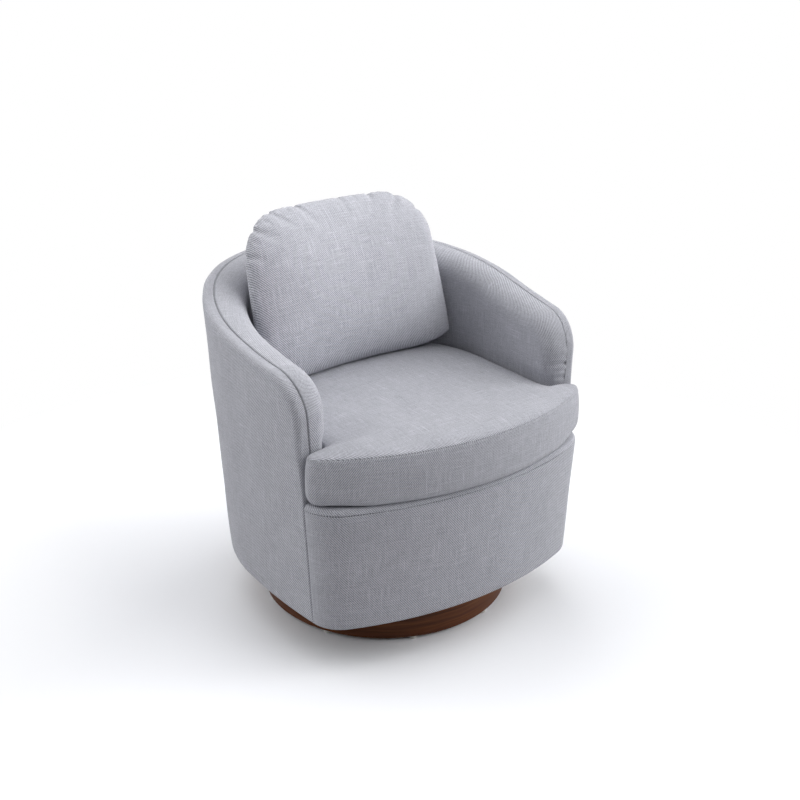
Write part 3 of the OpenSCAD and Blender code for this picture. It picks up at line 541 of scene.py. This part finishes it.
hem_f = np.linspace(math.pi / 2, 0, 9)
top_f = np.linspace(0, math.pi / 2, 9)
groove = np.array([[0.0, -2.2], [0.3, -1.0], [1.7, -0.2], [1.7, 0.2], [0.3, 0.9]]) * MM
prof = np.concatenate([
    [[HEM_R + HEM_FLAT, BODY_Z]],
    np.stack([HEM_R * (1 - np.cos(hem_f)), BODY_Z + HEM_R * (1 - np.sin(hem_f))], -1),
    np.stack([np.zeros(40), np.linspace(BODY_Z + HEM_R, DECK_Z - SEAM_DOWN - 2.2 * MM, 42)[1:-1]], -1),
    groove + [0, DECK_Z - SEAM_DOWN],
    np.stack([FRONT_EDGE_R * (1 - np.cos(top_f)), DECK_Z - FRONT_EDGE_R * (1 - np.sin(top_f))], -1),
    [[0.014, DECK_Z], [0.019, DECK_Z], [FRONT_RETURN, DECK_Z]]])      # columns: depth behind the face, height
prof_len = run_of(prof)
lump_f = lumps(q_front[:, None], prof[None, :, 1], (0.5, 29, 0, 33, 0), (0, 0, 0))
panel = front(q_front[:, None], prof[None, :, 1], prof[None, :, 0] + turned_in[:, None] + lump_f)
front_cloth = grid_piece(
    "front_cloth", [(panel, np.stack(np.broadcast_arrays(q_front[:, None], prof_len[None] + BODY_Z), -1))],
    upholstery, lambda centres: centres * [1, 1, 0] + [0, -0.1, 0])
thicken(front_cloth, CLOTH_THICK)
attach(front_cloth, "tub")
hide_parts("front_cover")
print("front panel", round(2 * HALF_FRONT, 3), "m along its bow")

# %% [markdown]
# ## Deck cloth
#
# Under the loose cushion a plain cloth is stretched over the springs. It is a sheet whose border follows the
# inside wall and the front panel, drawn as rings that close towards the middle.

# %% Deck cloth
DECK_Q, DECK_DOWN, DECK_SAG, DECK_THICK = 0.320, 0.6 * MM, 2.0 * MM, 1.5 * MM
wall_s = np.concatenate([path_s[np.abs(path_s) < S_END - ROLL_DROP], [S_END - ROLL_DROP]])
wall_s = np.concatenate([[-wall_s[-1]], wall_s])
wall_edge = wall(wall_s, np.full(len(wall_s), DECK_Z), wall_depth(wall_s, DECK_Z) + 1.5 * MM)
q_deck = np.linspace(DECK_Q, -DECK_Q, 70)
front_edge = front(q_deck, DECK_Z, FRONT_RETURN + 1.0 * MM)
loop = np.concatenate([wall_edge, front_edge, wall_edge[:1]])
shares = np.concatenate([np.linspace(1, 0.06, 24), [0.0]])[:, None, None]
sheet = loop[None] * np.array([1, 1, 0]) * shares
sheet[..., 2] = DECK_Z - DECK_DOWN - DECK_SAG * (1 - shares[..., 0] ** 2)
deck_cloth = grid_piece("deck_cloth", [(sheet, sheet[..., :2].copy())], decking, lambda centres: [0, 0, 1.0])
thicken(deck_cloth, DECK_THICK)
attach(deck_cloth, "tub")
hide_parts("deck_cover", "deck_pad")
DECK_AREA = abs(np.sum(loop[:-1, 0] * loop[1:, 1] - loop[1:, 0] * loop[:-1, 1])) / 2

# %% [markdown]
# ## Seat cushion
#
# The loose cushion is T-shaped: its ears pass in front of the arms. Two panels and a boxing strip are sewn round
# a foam core. The top swells quickly away from its seam and then lies nearly flat, and the strip bulges a little
# between its seams. The rings of the top close in towards a spine, so that the ears stay full, and only the last
# ones close in on a point. It lies on the ears' middle line, where all of the innermost ring is in its sight.

# %% Seat cushion
CUSHION_GAP, BULGE, CROWN = 0.0012, 0.005, 0.014
SEAM_Z, LOW_Z, LOW_STEP = DECK_Z + 0.095, DECK_Z + 0.4 * MM, 0.0012
NOSE_LONG, NOSE_WIDE = 0.034, 0.027  # how the notch follows the rounding of the arm's front
UNDER, UNDER_FROM, DROOP = 0.014, 0.82, 0.0025  # rounding under the strip, from this share of its height on
EAR_UNDER, EAR_UNDER_FROM = 0.020, 0.66
SPINE_SHARE, MIDDLE = 0.25, np.array([0.0, -0.240])
CUSHION_FRONT, CUSHION_BOW_R, EAR_X, EAR_R, EAR_BACK_R = 0.339, 0.580, 0.320, 0.036, 0.016
BOW_AT = CUSHION_BOW_R - CUSHION_FRONT
ear_at = np.array([EAR_X - EAR_R, BOW_AT - math.sqrt((CUSHION_BOW_R - EAR_R) ** 2 - (EAR_X - EAR_R) ** 2)])
ear_turn = math.atan2(ear_at[0], ear_at[1] - BOW_AT)


def arc_of(centre, radius, start, end, count):
    a = np.linspace(start, end, count)
    return np.stack([centre[0] + radius * np.sin(a), centre[1] + radius * np.cos(a)], -1)


def cushion_outline(count=460):
    """Half the T from the middle of the back to the middle of the bow, mirrored, spaced evenly and softened."""
    r = INNER_R - CUSHION_GAP
    swing_c = np.linspace(0, math.pi / 2, 12)[1:]
    nose = np.stack([r + NOSE_WIDE * (1 - np.cos(swing_c) ** FULL),
                     -ARM_FRONT + NOSE_LONG - (NOSE_LONG + CUSHION_GAP) * np.sin(swing_c) ** FULL], -1)
    half_line = np.concatenate([
        arc_of((0, BARREL_Y), r, 0, math.pi / 2, 60),
        np.stack([np.full(20, r), np.linspace(BARREL_Y, -ARM_FRONT + NOSE_LONG, 22)[1:-1]], -1),
        nose,
        arc_of((EAR_X - EAR_BACK_R, -ARM_FRONT - CUSHION_GAP - EAR_BACK_R), EAR_BACK_R, 0, math.pi / 2, 8),
        arc_of(ear_at, EAR_R, math.pi / 2, ear_turn, 14)[1:],
        arc_of((0, BOW_AT), CUSHION_BOW_R, ear_turn, math.pi, 40)[1:]])
    line = np.concatenate([half_line, half_line[::-1][1:] * [-1, 1]])
    run = run_of(line)
    at = np.linspace(0, run[-1], count, endpoint=False)
    even = np.stack([np.interp(at, run, line[:, 0]), np.interp(at, run, line[:, 1])], -1)
    for _ in range(6):
        even = 0.5 * even + 0.25 * (np.roll(even, 1, 0) + np.roll(even, -1, 0))
    return np.concatenate([even, even[:1]]), np.concatenate([at, run[-1:]])


def pull_in(line, depth):
    """Moves a closed outline inwards, square to itself. The depth is one number or one for each point."""
    core = line[:-1]
    depth = np.broadcast_to(depth, len(line))[:-1, None]
    along = unit(np.roll(core, -1, 0) - np.roll(core, 1, 0))
    moved = core + depth * np.stack([along[:, 1], -along[:, 0]], -1)
    return np.concatenate([moved, moved[:1]])


def at_height(line, z):
    """An outline in plan as places at height z."""
    return np.concatenate([line, np.full((len(line), 1), z)], 1)


def spine_of(line):
    """Where each point of the outline heads as the top closes in: ears towards their own middle line."""
    ahead = -ARM_FRONT - 0.025
    ear = smooth_step((np.abs(line[:, 0]) - INNER_R) / 0.030)
    return np.stack([0.3 * line[:, 0], mix(np.clip(line[:, 1], ahead, 0.080), ahead, ear)], -1)


outline, outline_run = cushion_outline()
seam_line = pull_in(outline, BULGE)


def closing_rings(line, z_of, shares_out):
    """Rings of a panel from its seam to its middle, with heights z_of(share)."""
    spine = spine_of(line)
    rings = [mix(spine, line, share) for share in shares_out if share >= SPINE_SHARE]
    inner_ring = mix(spine, line, SPINE_SHARE)
    rings += [mix(MIDDLE, inner_ring, share / SPINE_SHARE) for share in shares_out if share < SPINE_SHARE]
    rings = np.stack(rings)
    z = np.broadcast_to(z_of(np.asarray(shares_out))[:, None], rings.shape[:2])
    return np.concatenate([rings, z[..., None]], -1)


def rounding(radius, start):
    """How far the strip draws in under itself, on a round of this radius that begins at height share `start`."""
    down = np.clip((v - start) / (1 - start), 0, 1)
    return radius * (1 - np.sqrt(1 - 0.999 * down ** 2))


top_shares = np.concatenate([1 - np.linspace(0, 0.10, 12) * np.linspace(0.2, 1, 12),
                             np.linspace(0.89, SPINE_SHARE, 26), np.linspace(0.22, 0.0, 8)])
top_rings = closing_rings(seam_line, lambda u: SEAM_Z + CROWN * np.maximum(1 - u ** 3.2, 0) ** 0.55, top_shares)
soft = lumps(top_rings[..., 0], top_rings[..., 1], (1.1, 13, 0.5, 17, 1.0), (0.5, 41, 29))
top_rings[..., 2] += soft * (1 - top_shares[:, None] ** 6)
v = np.linspace(0, 1, 30)
under = rounding(UNDER, UNDER_FROM)
side_inset = BULGE * np.abs(2 * v - 1) ** 2.4 * (v < 0.5) + under
ear_inset = rounding(EAR_UNDER, EAR_UNDER_FROM) - under
ear_share = smooth_step((np.abs(outline[:, 0]) - 0.235) / 0.06) * smooth_step((-outline[:, 1] - 0.205) / 0.02)
strip = np.stack([at_height(pull_in(outline, inset + more * ear_share), z)
                  for inset, more, z in zip(side_inset, ear_inset, mix(SEAM_Z, LOW_Z + LOW_STEP, v))])
overhang = smooth_step((-outline[:, 1] - 0.27) / 0.03) * smooth_step((0.27 - np.abs(outline[:, 0])) / 0.05)
strip[..., 2] -= DROOP * overhang * (v[:, None] ** 3)
seam_dip = at_height(pull_in(outline, BULGE + 1.6 * MM), SEAM_Z - 0.6 * MM)[None]
strip = np.concatenate([seam_dip, strip])
top_rings = np.concatenate([seam_dip, top_rings + np.array([0, 0, 0.3 * MM])])
low_shares = np.concatenate([[1.0, 0.99, 0.975, 0.95], np.linspace(0.9, SPINE_SHARE, 14),
                             np.linspace(0.2, 0.0, 5)])
low_rings = closing_rings(pull_in(outline, side_inset[-1] + ear_inset[-1] * ear_share),
                          lambda u: LOW_Z + LOW_STEP * smooth_step((u - 0.93) / 0.07), low_shares)
low_rings[..., 2] -= DROOP * overhang * smooth_step((low_shares[:, None] - 0.96) / 0.04)
strip_run = np.broadcast_to(outline_run, strip.shape[:2])
seat_cushion = grid_piece("seat_cushion", [
    (top_rings, top_rings[..., :2].copy()),
    (strip, np.stack([strip_run, strip[..., 2]], -1)),
    (low_rings, low_rings[..., :2].copy())], upholstery)
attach(seat_cushion, "cushion")
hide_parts("seat_cover", "seat_core")

# %% [markdown]
# ## Back pillow
#
# The pillow is two panels sewn edge to edge and filled. A formula gives the panels their swell, the nips along the
# top seam and the folds behind them. Blender's cloth solver then puts a pressure inside while the seam is held, so
# that the cloth settles. The result is laid back against the tub, bent round it and turned a little.

# %% Back pillow
PILLOW_W, PILLOW_H, PILLOW_T = 0.483, 0.340, 0.144
PILLOW_LEAN, PILLOW_BEND, PILLOW_Y = math.radians(15), 0.042, 0.112
PILLOW_TURN, PILLOW_X = math.radians(5.0), -0.006
PILLOW_Z = SEAM_Z + CROWN + 0.0006
PILLOW_TAPER, FOOT_RISE = 0.016, 0.026  # narrower at the top, and the foot's corners lifted
TOP_CORNER, FOOT_CORNER = 0.096, 0.010
NIP_WIDE, FOLD_LONG = 0.0055, 0.021
COLUMNS, LINES = 150, 112
NIPS = np.array([-0.262, -0.205, -0.150, -0.080, 0.030, 0.105, 0.168, 0.222])
NIP_DEEP = np.array([3.4, 5.6, 4.4, 5.0, 2.0, 4.6, 6.0, 4.0]) * MM


def half_width(v):
    """Half the pillow's flat width at height share v: rounded top corners, a small radius at the foot."""
    h = v * PILLOW_H
    w = PILLOW_W / 2 - PILLOW_TAPER * v
    up = np.clip((h - (PILLOW_H - TOP_CORNER)) / TOP_CORNER, 0, 1)
    down = np.clip((FOOT_CORNER - h) / FOOT_CORNER, 0, 1)
    return w - TOP_CORNER * (1 - np.sqrt(1 - up ** 2)) - FOOT_CORNER * (1 - np.sqrt(1 - down ** 2))


def polar(x, z):
    """Direction and distance from the pillow's middle, in its own plane."""
    return np.arctan2(x, z - PILLOW_H / 2), np.hypot(x, z - PILLOW_H / 2)


def gathers(x, z):
    """Folds that start at the seam and die out towards the middle. Eight nips along the top pull the seam in and
    draw a valley behind them that widens as it fades, and a small wave ruffles the corners."""
    v = np.sin(np.linspace(-math.pi / 2, math.pi / 2, 200)) / 2 + 0.5
    rim_x = np.concatenate([half_width(v), np.linspace(half_width(1.0), 0, 40)])
    rim_z = np.concatenate([v * PILLOW_H, np.full(40, PILLOW_H)])
    rim_x, rim_z = np.concatenate([np.linspace(0, rim_x[0], 40), rim_x]), np.concatenate([np.zeros(40), rim_z])
    turn, far = polar(rim_x, rim_z)
    order = np.argsort(turn)
    turn, far = turn[order], far[order]
    run = run_of(np.stack([rim_x, rim_z], -1)[order])
    t, r = polar(x, z)
    edge = np.interp(np.abs(t), turn, far)
    along = np.sign(t) * np.interp(np.abs(t), turn, run)
    inward = np.maximum(edge - r, 0)
    wave = np.sin(along / 0.0172 * 2 * math.pi + 0.6) + 0.7 * np.sin(along / 0.0113 * 2 * math.pi + 2.0)
    corner = np.exp(-((np.abs(t) - 0.80) / 0.34) ** 2)
    apart = (along[..., None] - NIPS) / (0.0050 + 0.16 * inward[..., None])
    valley = (NIP_DEEP * np.exp(-apart ** 2)).sum(-1)
    fold = (0.9 * MM * wave * (0.15 + corner) * np.exp(-inward / 0.015) - valley * np.exp(-inward / FOLD_LONG))
    nip = (NIP_DEEP * np.exp(-((along[..., None] - NIPS) / NIP_WIDE) ** 2)).sum(-1)
    nip += 0.5 * MM * wave * (0.2 + corner)
    return fold * smooth_step(inward / 0.003), nip * np.exp(-inward / 0.008)


def filled_panels():
    """Front and back as grids, u across and v up. The fill is (1 - u^p)^q (1 - w^p)^q deep, where w runs from -1
    at the foot to 1 at the top."""
    u = np.sin(np.linspace(-math.pi / 2, math.pi / 2, COLUMNS + 1))[:, None]
    w = np.sin(np.linspace(-math.pi / 2, math.pi / 2, LINES + 1))[None]
    u, w = np.broadcast_arrays(u, w)
    v = (w + 1) / 2
    x, z = u * half_width(v), v * PILLOW_H
    full = PILLOW_T / 2 * ((1 - np.abs(u) ** 2.5) * (1 - np.abs(w) ** np.where(w < 0, 2.5, 2.1))) ** 0.51
    fold, nip = gathers(x, z)
    inside = smooth_step((1 - np.abs(u)) / 0.12) * smooth_step((1 - np.abs(w)) / 0.12)
    full = full + fold + lumps(x, z, (1.6, 21, 0.6, 19, 0.3), (0.8, 47, -39)) * inside
    shrink = 1 - nip / np.maximum(polar(x, z)[1], 0.05)
    x, z = x * shrink, PILLOW_H / 2 + (z - PILLOW_H / 2) * shrink + FOOT_RISE * np.abs(u) ** 6 * (1 - v) ** 3
    cloth = np.stack([x, z], -1)
    return [(np.stack([x, -full, z], -1), cloth), (np.stack([x, full, z], -1), cloth + [0.7, 0])]


def coordinates(mesh):
    co = np.empty(len(mesh.vertices) * 3, np.float32)
    mesh.vertices.foreach_get("co", co)
    return co.reshape(-1, 3).astype(float)


def stuff(thing, pressure, frames, cap):
    """Lets the cloth solver swell a closed skin whose seam is held. No point moves further than the cap."""
    start = coordinates(thing.data)
    seam = thing.vertex_groups.new(name="seam")
    seam.add([int(i) for i in np.nonzero(np.abs(start[:, 1]) < 1e-6)[0]], 1.0, "REPLACE")
    cloth = thing.modifiers.new("cloth", "CLOTH")
    s = cloth.settings
    s.quality, s.mass, s.air_damping = 6, 0.3, 2.0
    s.tension_stiffness, s.compression_stiffness, s.shear_stiffness, s.bending_stiffness = 20, 20, 8, 1.0
    s.use_pressure, s.uniform_pressure_force = True, pressure
    s.vertex_group_mass, s.pin_stiffness = "seam", 1.0
    s.effector_weights.gravity = 0.0
    scene = bpy.context.scene
    for frame_no in range(1, frames + 1):
        scene.frame_set(frame_no)
    ready = thing.evaluated_get(bpy.context.evaluated_depsgraph_get())
    moved = coordinates(ready.data) - start
    thing.modifiers.remove(cloth)
    scene.frame_set(1)
    far = np.linalg.norm(moved, axis=1, keepdims=True)
    print("solver moved the cloth by up to", round(float(far.max()) * 1000, 1), "mm")
    return start + moved * np.minimum(1, cap / np.maximum(far, 1e-9))


def lay_back(p):
    """Leans the pillow against the tub, bends its sides forward with the square of x, and turns it a little."""
    x, n, v = p[:, 0], p[:, 1], p[:, 2]
    y = PILLOW_Y + v * math.sin(PILLOW_LEAN) + n * math.cos(PILLOW_LEAN) - PILLOW_BEND * (2 * x / PILLOW_W) ** 2
    c, d = math.cos(PILLOW_TURN), math.sin(PILLOW_TURN)
    x, y = PILLOW_X + x * c - (y - PILLOW_Y) * d, PILLOW_Y + x * d + (y - PILLOW_Y) * c
    return np.stack([x, y, PILLOW_Z + v * math.cos(PILLOW_LEAN) - n * math.sin(PILLOW_LEAN)], -1)


back_pillow = grid_piece("back_pillow", filled_panels(), upholstery)
filled = stuff(back_pillow, pressure=2.0, frames=14, cap=8 * MM)
low_corner, high_corner = filled.min(0), filled.max(0)
print("pillow filled to", np.round(high_corner - low_corner, 3))
filled[:, 1] *= PILLOW_T / (high_corner[1] - low_corner[1])
placed = lay_back(filled)
placed[:, 2] += PILLOW_Z - placed[:, 2].min()
back_pillow.data.vertices.foreach_set("co", placed.astype(np.float32).ravel())
back_pillow.data.update()
finer = back_pillow.modifiers.new("finer", "SUBSURF")
finer.levels = finer.render_levels = 1
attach(back_pillow, "pillow")
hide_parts("pillow_cover", "pillow_fill")

# %% [markdown]
# ## Stitches
#
# Every stitch is a short bead with its two ends sunk in the cloth. One function lays a whole row: it walks the
# seam, sets a bead at each step and turns it along the thread.

# %% Stitches
STITCH_PITCH, STITCH_LONG, THREAD_R, SINK = 0.0056, 0.0036, 0.0007, 0.2 * MM


def along_path(at, run, values):
    return np.stack([np.interp(at, run, values[:, k]) for k in range(3)], -1)


def stitch_row(path, up):
    """Beads along a path: each is 5 rings of 6 points round its thread, arched so that both ends dip."""
    run = run_of(path)
    count = int(run[-1] / STITCH_PITCH)
    at = (np.arange(count) + 0.5) * run[-1] / count
    spot = along_path(at, run, path)
    along = unit(along_path(at + 0.4 * STITCH_PITCH, run, path) - along_path(at - 0.4 * STITCH_PITCH, run, path))
    lift = along_path(at, run, up)
    lift = unit(lift - along * (lift * along).sum(-1, keepdims=True))
    side = np.cross(along, lift)
    t = np.array([-1, -0.72, 0, 0.72, 1])
    radius = THREAD_R * np.array([0.35, 0.85, 1, 0.85, 0.35])
    height = -SINK - THREAD_R * 1.2 * t ** 2
    a = np.arange(6) * math.pi / 3
    points = (spot[:, None, None] + along[:, None, None] * (t * STITCH_LONG / 2)[None, :, None, None]
              + lift[:, None, None] * (height[:, None] + radius[:, None] * np.cos(a))[None, ..., None]
              + side[:, None, None] * (radius[:, None] * np.sin(a))[None, ..., None])
    return points.reshape(-1, 3)


def stitches(name, rows, body, material):
    points = np.concatenate(rows)
    k = np.arange(6)
    one = np.stack([k, (k + 1) % 6, 6 + (k + 1) % 6, 6 + k], -1)
    ring = np.concatenate([one + 6 * i for i in range(4)])
    count = len(points) // 30
    quads = (np.arange(count)[:, None, None] * 30 + ring[None]).reshape(-1, 4)
    caps = (np.arange(count)[:, None, None] * 30 + np.stack([k[::-1], 24 + k])[None]).reshape(-1, 6)
    mesh = bpy.data.meshes.new(name)
    mesh.from_pydata(points.tolist(), [], quads.tolist() + caps.tolist())
    close_mesh(mesh)
    thing = link(name, mesh, material)
    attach(thing, body)
    print(name, count, "stitches")


def thread_material(name, dark, light):
    g = Graph(name)
    return g.finish(Base_Color=g.mix(g.noise(g.place(), 900.0), dark, light), Roughness=0.7)


thread = thread_material("thread", (0.30, 0.305, 0.34), (0.54, 0.55, 0.60))
# Near-black thread for the front panel's seams is painted shade: its colour stands for the shadow in the stitch
# holes.
seam_thread = thread_material("seam_thread", (0.045, 0.046, 0.055), (0.10, 0.102, 0.12))


def rim_line():
    """The seam round the rim and down both arms, with the direction that leads off the cloth."""
    keep = in_z > DECK_Z + 0.004
    line = wall(*led_off(in_s, in_z, in_turn, np.array([ROLL_DROP, ROLL_DROP + MM])), SEAM_IN)[keep]
    return line[:, 0], line[:, 1] - line[:, 0]


def upright_line(side):
    """Down the groove where the front panel meets the side cloth."""
    z = np.linspace(BODY_Z + HEM_R, DECK_Z - SEAM_DOWN, 40)
    q = np.full(40, side * (HALF_FRONT - 0.6 * MM))
    return front(q, z, 1.3 * MM), front(q, z, -MM) - front(q, z, 0.0)


def front_line():
    """Along the seam under the front panel's top edge."""
    q = np.linspace(-(HALF_FRONT - 0.006), HALF_FRONT - 0.006, 160)
    z = DECK_Z - SEAM_DOWN
    return front(q, z, 0.9 * MM), front(q, z, -MM) - front(q, z, 0.0)


def cushion_line(inset, z, out_share):
    """Round the cushion at height z. out_share says how far the thread faces sideways and not up."""
    line = pull_in(outline, inset)
    off = unit(line - spine_of(outline))
    return at_height(line, z), at_height(off * out_share, 1 - out_share)


stitches("rim_stitches", [stitch_row(*rim_line())], "tub", thread)
# The front panel's stitches use the near-black thread, which is painted shade for their holes.
stitches("panel_stitches", [stitch_row(*front_line())] + [stitch_row(*upright_line(side)) for side in (-1, 1)],
         "tub", seam_thread)
stitches("cushion_stitches", [stitch_row(*cushion_line(BULGE + 3.6 * MM, SEAM_Z + 1.8 * MM, 0.25)),
                              stitch_row(*cushion_line(0.66 * BULGE, SEAM_Z - 4.8 * MM, 0.85))], "cushion", thread)

# %% [markdown]
# ## Wood, metal and the rest
#
# The parts from CAD keep their meshes and get a finish by what they are made of. The plinth is a bent ring faced
# with walnut, so its grain runs level round it: the pattern is drawn on the angle round the axis.

# %% Materials of the CAD parts
AROUND = 0.26  # metres of grain per radian, about the plinth's radius
PLY = 1 / 0.0036  # plies per metre


def walnut():
    g = Graph("walnut")
    x, y, z = g.parts(g.place())
    angle = g.node("ShaderNodeMath", {"operation": "ARCTAN2"}, x, y * -1.0)
    round_it = g.node("ShaderNodeCombineXYZ", {}, angle * AROUND, z, 0.0)
    warp = g.grain(round_it, (7, 26, 1), 2.0) * 0.016
    bent = g.node("ShaderNodeCombineXYZ", {}, angle * AROUND, z + warp, 0.0)
    figure = g.grain(bent, (5, 150, 1), 4.0, 0.62)
    pores = g.grain(bent, (70, 1500, 1), 2.0, 0.7)
    streak = g.grain(bent, (2.2, 60, 1), 2.0, 0.5)
    tone = (figure * 1.5 + streak * 0.9 - 0.75).clip()
    brown = g.node("ShaderNodeValToRGB", {"stops": [(0.0, (0.040, 0.0110, 0.0036)), (0.45, (0.105, 0.0330, 0.0110)),
                                                   (1.0, (0.200, 0.0710, 0.0235))]}, tone)
    dark_pore = ((pores - 0.60) * 7.0).clip()
    colour = g.mix(dark_pore * 0.55, brown, (0.010, 0.004, 0.002))
    return g.finish(Base_Color=colour, Roughness=0.42 + figure * 0.12, Specular_IOR_Level=0.18,
                    Normal=g.bump(pores * 0.5 + figure * 0.3, 0.0003, 0.35))


def plain_wood(name, dark, light, stretch):
    g = Graph(name)
    place = g.place()
    grain = g.grain(place, stretch, 4.0, 0.6)
    fine = g.grain(place, [6 * k for k in stretch], 2.0, 0.6)
    return g.finish(Base_Color=g.mix((grain * 1.3 + fine * 0.5 - 0.4).clip(), dark, light),
                    Roughness=0.55 + fine * 0.15, Normal=g.bump(fine, 0.0004, 0.4))


def plywood():
    g = Graph("plywood")
    place = g.place()
    ply = ((g.parts(place)[2] * PLY).fract() - 0.5).abs() * 2.0
    grain = g.grain(place, (9, 170, 40), 3.0, 0.6)
    tone = ((ply - 0.25).clip() * 0.5 + grain * 0.8 - 0.15).clip()
    return g.finish(Base_Color=g.mix(tone, (0.34, 0.22, 0.12), (0.62, 0.47, 0.30)), Roughness=0.62,
                    Normal=g.bump(grain, 0.0003, 0.4))


def metal(name, colour, rough):
    g = Graph(name)
    place = g.place()
    mottle = g.noise(place, 220.0, 3.0, 0.6)
    soil = g.noise(place, 22.0, 2.0)
    shade = tuple(0.7 * c for c in colour)
    return g.finish(Base_Color=g.mix((mottle * 0.5 + soil * 0.5).clip(), shade, colour), Metallic=1.0,
                    Roughness=(mottle * 0.25 + (rough - 0.12)), Normal=g.bump(mottle, 0.0001, 0.3))


def fibre(name, dark, light, scale, rough):
    """Felted, pressed or non-woven stuff: short speckles on a soft drift."""
    g = Graph(name)
    place = g.place()
    fleck = g.noise(place, scale, 3.0, 0.7)
    drift = g.noise(place, scale / 14, 2.0)
    return g.finish(Base_Color=g.mix((fleck * 1.1 + drift * 0.6 - 0.35).clip(), dark, light), Roughness=rough,
                    Normal=g.bump(fleck, 0.0005, 0.5))


def plastic(name, dark, light, rough):
    g = Graph(name)
    place = g.place()
    cloud = g.noise(place, 120.0, 2.0)
    return g.finish(Base_Color=g.mix(cloud, dark, light), Roughness=rough + cloud * 0.1,
                    Normal=g.bump(g.noise(place, 900.0), 0.00005, 0.3))


finishes = {
    walnut(): ["plinth_ring"],
    plywood(): ["plinth_board", "base_board"],
    plain_wood("block_wood", (0.40, 0.27, 0.15), (0.66, 0.50, 0.32), (12, 12, 190)): ["plinth_blocks"],
    plain_wood("frame_wood", (0.47, 0.33, 0.20), (0.70, 0.55, 0.37), (14, 160, 160)):
        ["lower_posts", "seat_frame", "front_rail", "wall_posts", "top_rail"],
    plastic("glide_plastic", (0.62, 0.61, 0.57), (0.80, 0.79, 0.75), 0.38): ["glides"],
    plastic("cage_nylon", (0.62, 0.60, 0.52), (0.74, 0.72, 0.64), 0.45): ["ball_cage"],
    metal("swivel_steel", (0.50, 0.50, 0.52), 0.42): ["lower_swivel_plate", "upper_swivel_plate"],
    metal("fastener_steel", (0.62, 0.61, 0.58), 0.38):
        ["glide_nails", "lower_plate_screws", "centre_rivet", "upper_plate_bolts", "tee_nuts", "spring_clips"],
    metal("ball_steel", (0.78, 0.78, 0.79), 0.22): ["bearing_balls"],
    metal("spring_steel", (0.30, 0.29, 0.28), 0.45): ["springs"],
    fibre("fibreboard", (0.20, 0.13, 0.075), (0.34, 0.24, 0.15), 420.0, 0.9):
        ["outer_liner", "front_liner", "inner_liner"],
    fibre("dust_cloth", (0.016, 0.016, 0.018), (0.045, 0.045, 0.05), 700.0, 0.95): ["dust_cover"],
}
for finish, names in finishes.items():
    for name in names:
        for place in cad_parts[name].material_slots:
            place.material = finish
print(len(finishes), "finishes on", sum(len(names) for names in finishes.values()), "parts")

# %% [markdown]
# ## Floor and light
#
# The photograph has a white ground with a soft shadow. The floor is a pale sheet whose far parts turn into plain
# white light for the camera. Five very soft suns stand in for the walls of a studio: one overhead, one behind, one
# in front on the right, and one on either side. Two square lamps add to them, at the left and above the pillow.

# %% Floor and light
FLOOR_HALF, WHITE_FROM, WHITE_TO = 30.0, 0.62, 1.35
floor_mesh = bpy.data.meshes.new("floor")
floor_mesh.from_pydata([(x * FLOOR_HALF, y * FLOOR_HALF, 0) for x, y in ((-1, -1), (1, -1), (1, 1), (-1, 1))],
                       [], [(0, 1, 2, 3)])
g = Graph("floor")
x, y = g.parts(g.place(), 2)
away = (x * x + y * y) ** 0.5
far = ((away - WHITE_FROM) / (WHITE_TO - WHITE_FROM)).clip()
seen = g.node("ShaderNodeLightPath", {}, out=0)
mirrored = g.node("ShaderNodeLightPath", {}, out=3)
shown = (seen + mirrored).clip()
pale = g.mix(shown, (0.50, 0.50, 0.51), (0.925, 0.935, 0.965))
matt = g.node("ShaderNodeBsdfDiffuse", {}, pale)
white = g.node("ShaderNodeEmission", {}, (1, 1, 1, 1), 1.0)
g.node("ShaderNodeOutputMaterial", {}, g.node("ShaderNodeMixShader", {}, far * shown, matt, white))
floor = link("floor", floor_mesh, g.owner)

world = bpy.data.worlds.new("world")
bpy.context.scene.world = world
g = Graph(world)
AMBIENT = 0.01
shown = (g.node("ShaderNodeLightPath", {}, out=0) + g.node("ShaderNodeLightPath", {}, out=6)).clip()
sky = g.mix(shown, (0.97 * AMBIENT, 0.985 * AMBIENT, 1.03 * AMBIENT), (1.0, 1.0, 1.0))
g.node("ShaderNodeOutputWorld", {}, g.node("ShaderNodeBackground", {}, sky, 1.0))

# Suns: where each one stands, its level and how many degrees it is wide
SUNS = {"top": ((0.0, 0.0, 1.0), 0.264, 60), "high": ((0.0, 0.7, 0.7), 0.368, 60),
        "front": ((0.55, -0.60, 0.58), 0.449, 50), "left": ((-0.80, 0.50, 0.35), 0.452, 60),
        "right": ((0.95, -0.10, 0.30), 0.901, 60)}
# Square lamps: place, aim, size, spread in degrees, watts
BOXES = {"left_box": ((-1.2, 0.1, 1.2), (0, 0, 0.45), 0.7, 180, 1.96),
         "pillow_box": ((0.2, -0.9, 1.5), (0, 0.15, 0.70), 0.4, 35, 0.36)}


def hang(name, light, toward, at=(0, 0, 0)):
    """A lamp at a place, which shines from the direction `toward`."""
    lamp = bpy.data.objects.new(name, light)
    lamp.location = at
    lamp.rotation_euler = Vector(toward).to_track_quat("Z", "Y").to_euler()
    lamp.visible_camera = False
    bpy.context.scene.collection.objects.link(lamp)


for name, (at, aim, size, spread, watts) in BOXES.items():
    box = bpy.data.lights.new(name, "AREA")
    box.shape, box.size, box.spread, box.energy = "SQUARE", size, math.radians(spread), watts
    hang(name, box, Vector(at) - Vector(aim), at)
for name, (toward, level, wide) in SUNS.items():
    sun = bpy.data.lights.new(name, "SUN")
    sun.energy, sun.angle = level * math.pi, math.radians(wide)
    hang(name, sun, toward)
bpy.context.scene.view_settings.view_transform = "Standard"
print("suns", {name: spec[1] for name, spec in SUNS.items()})
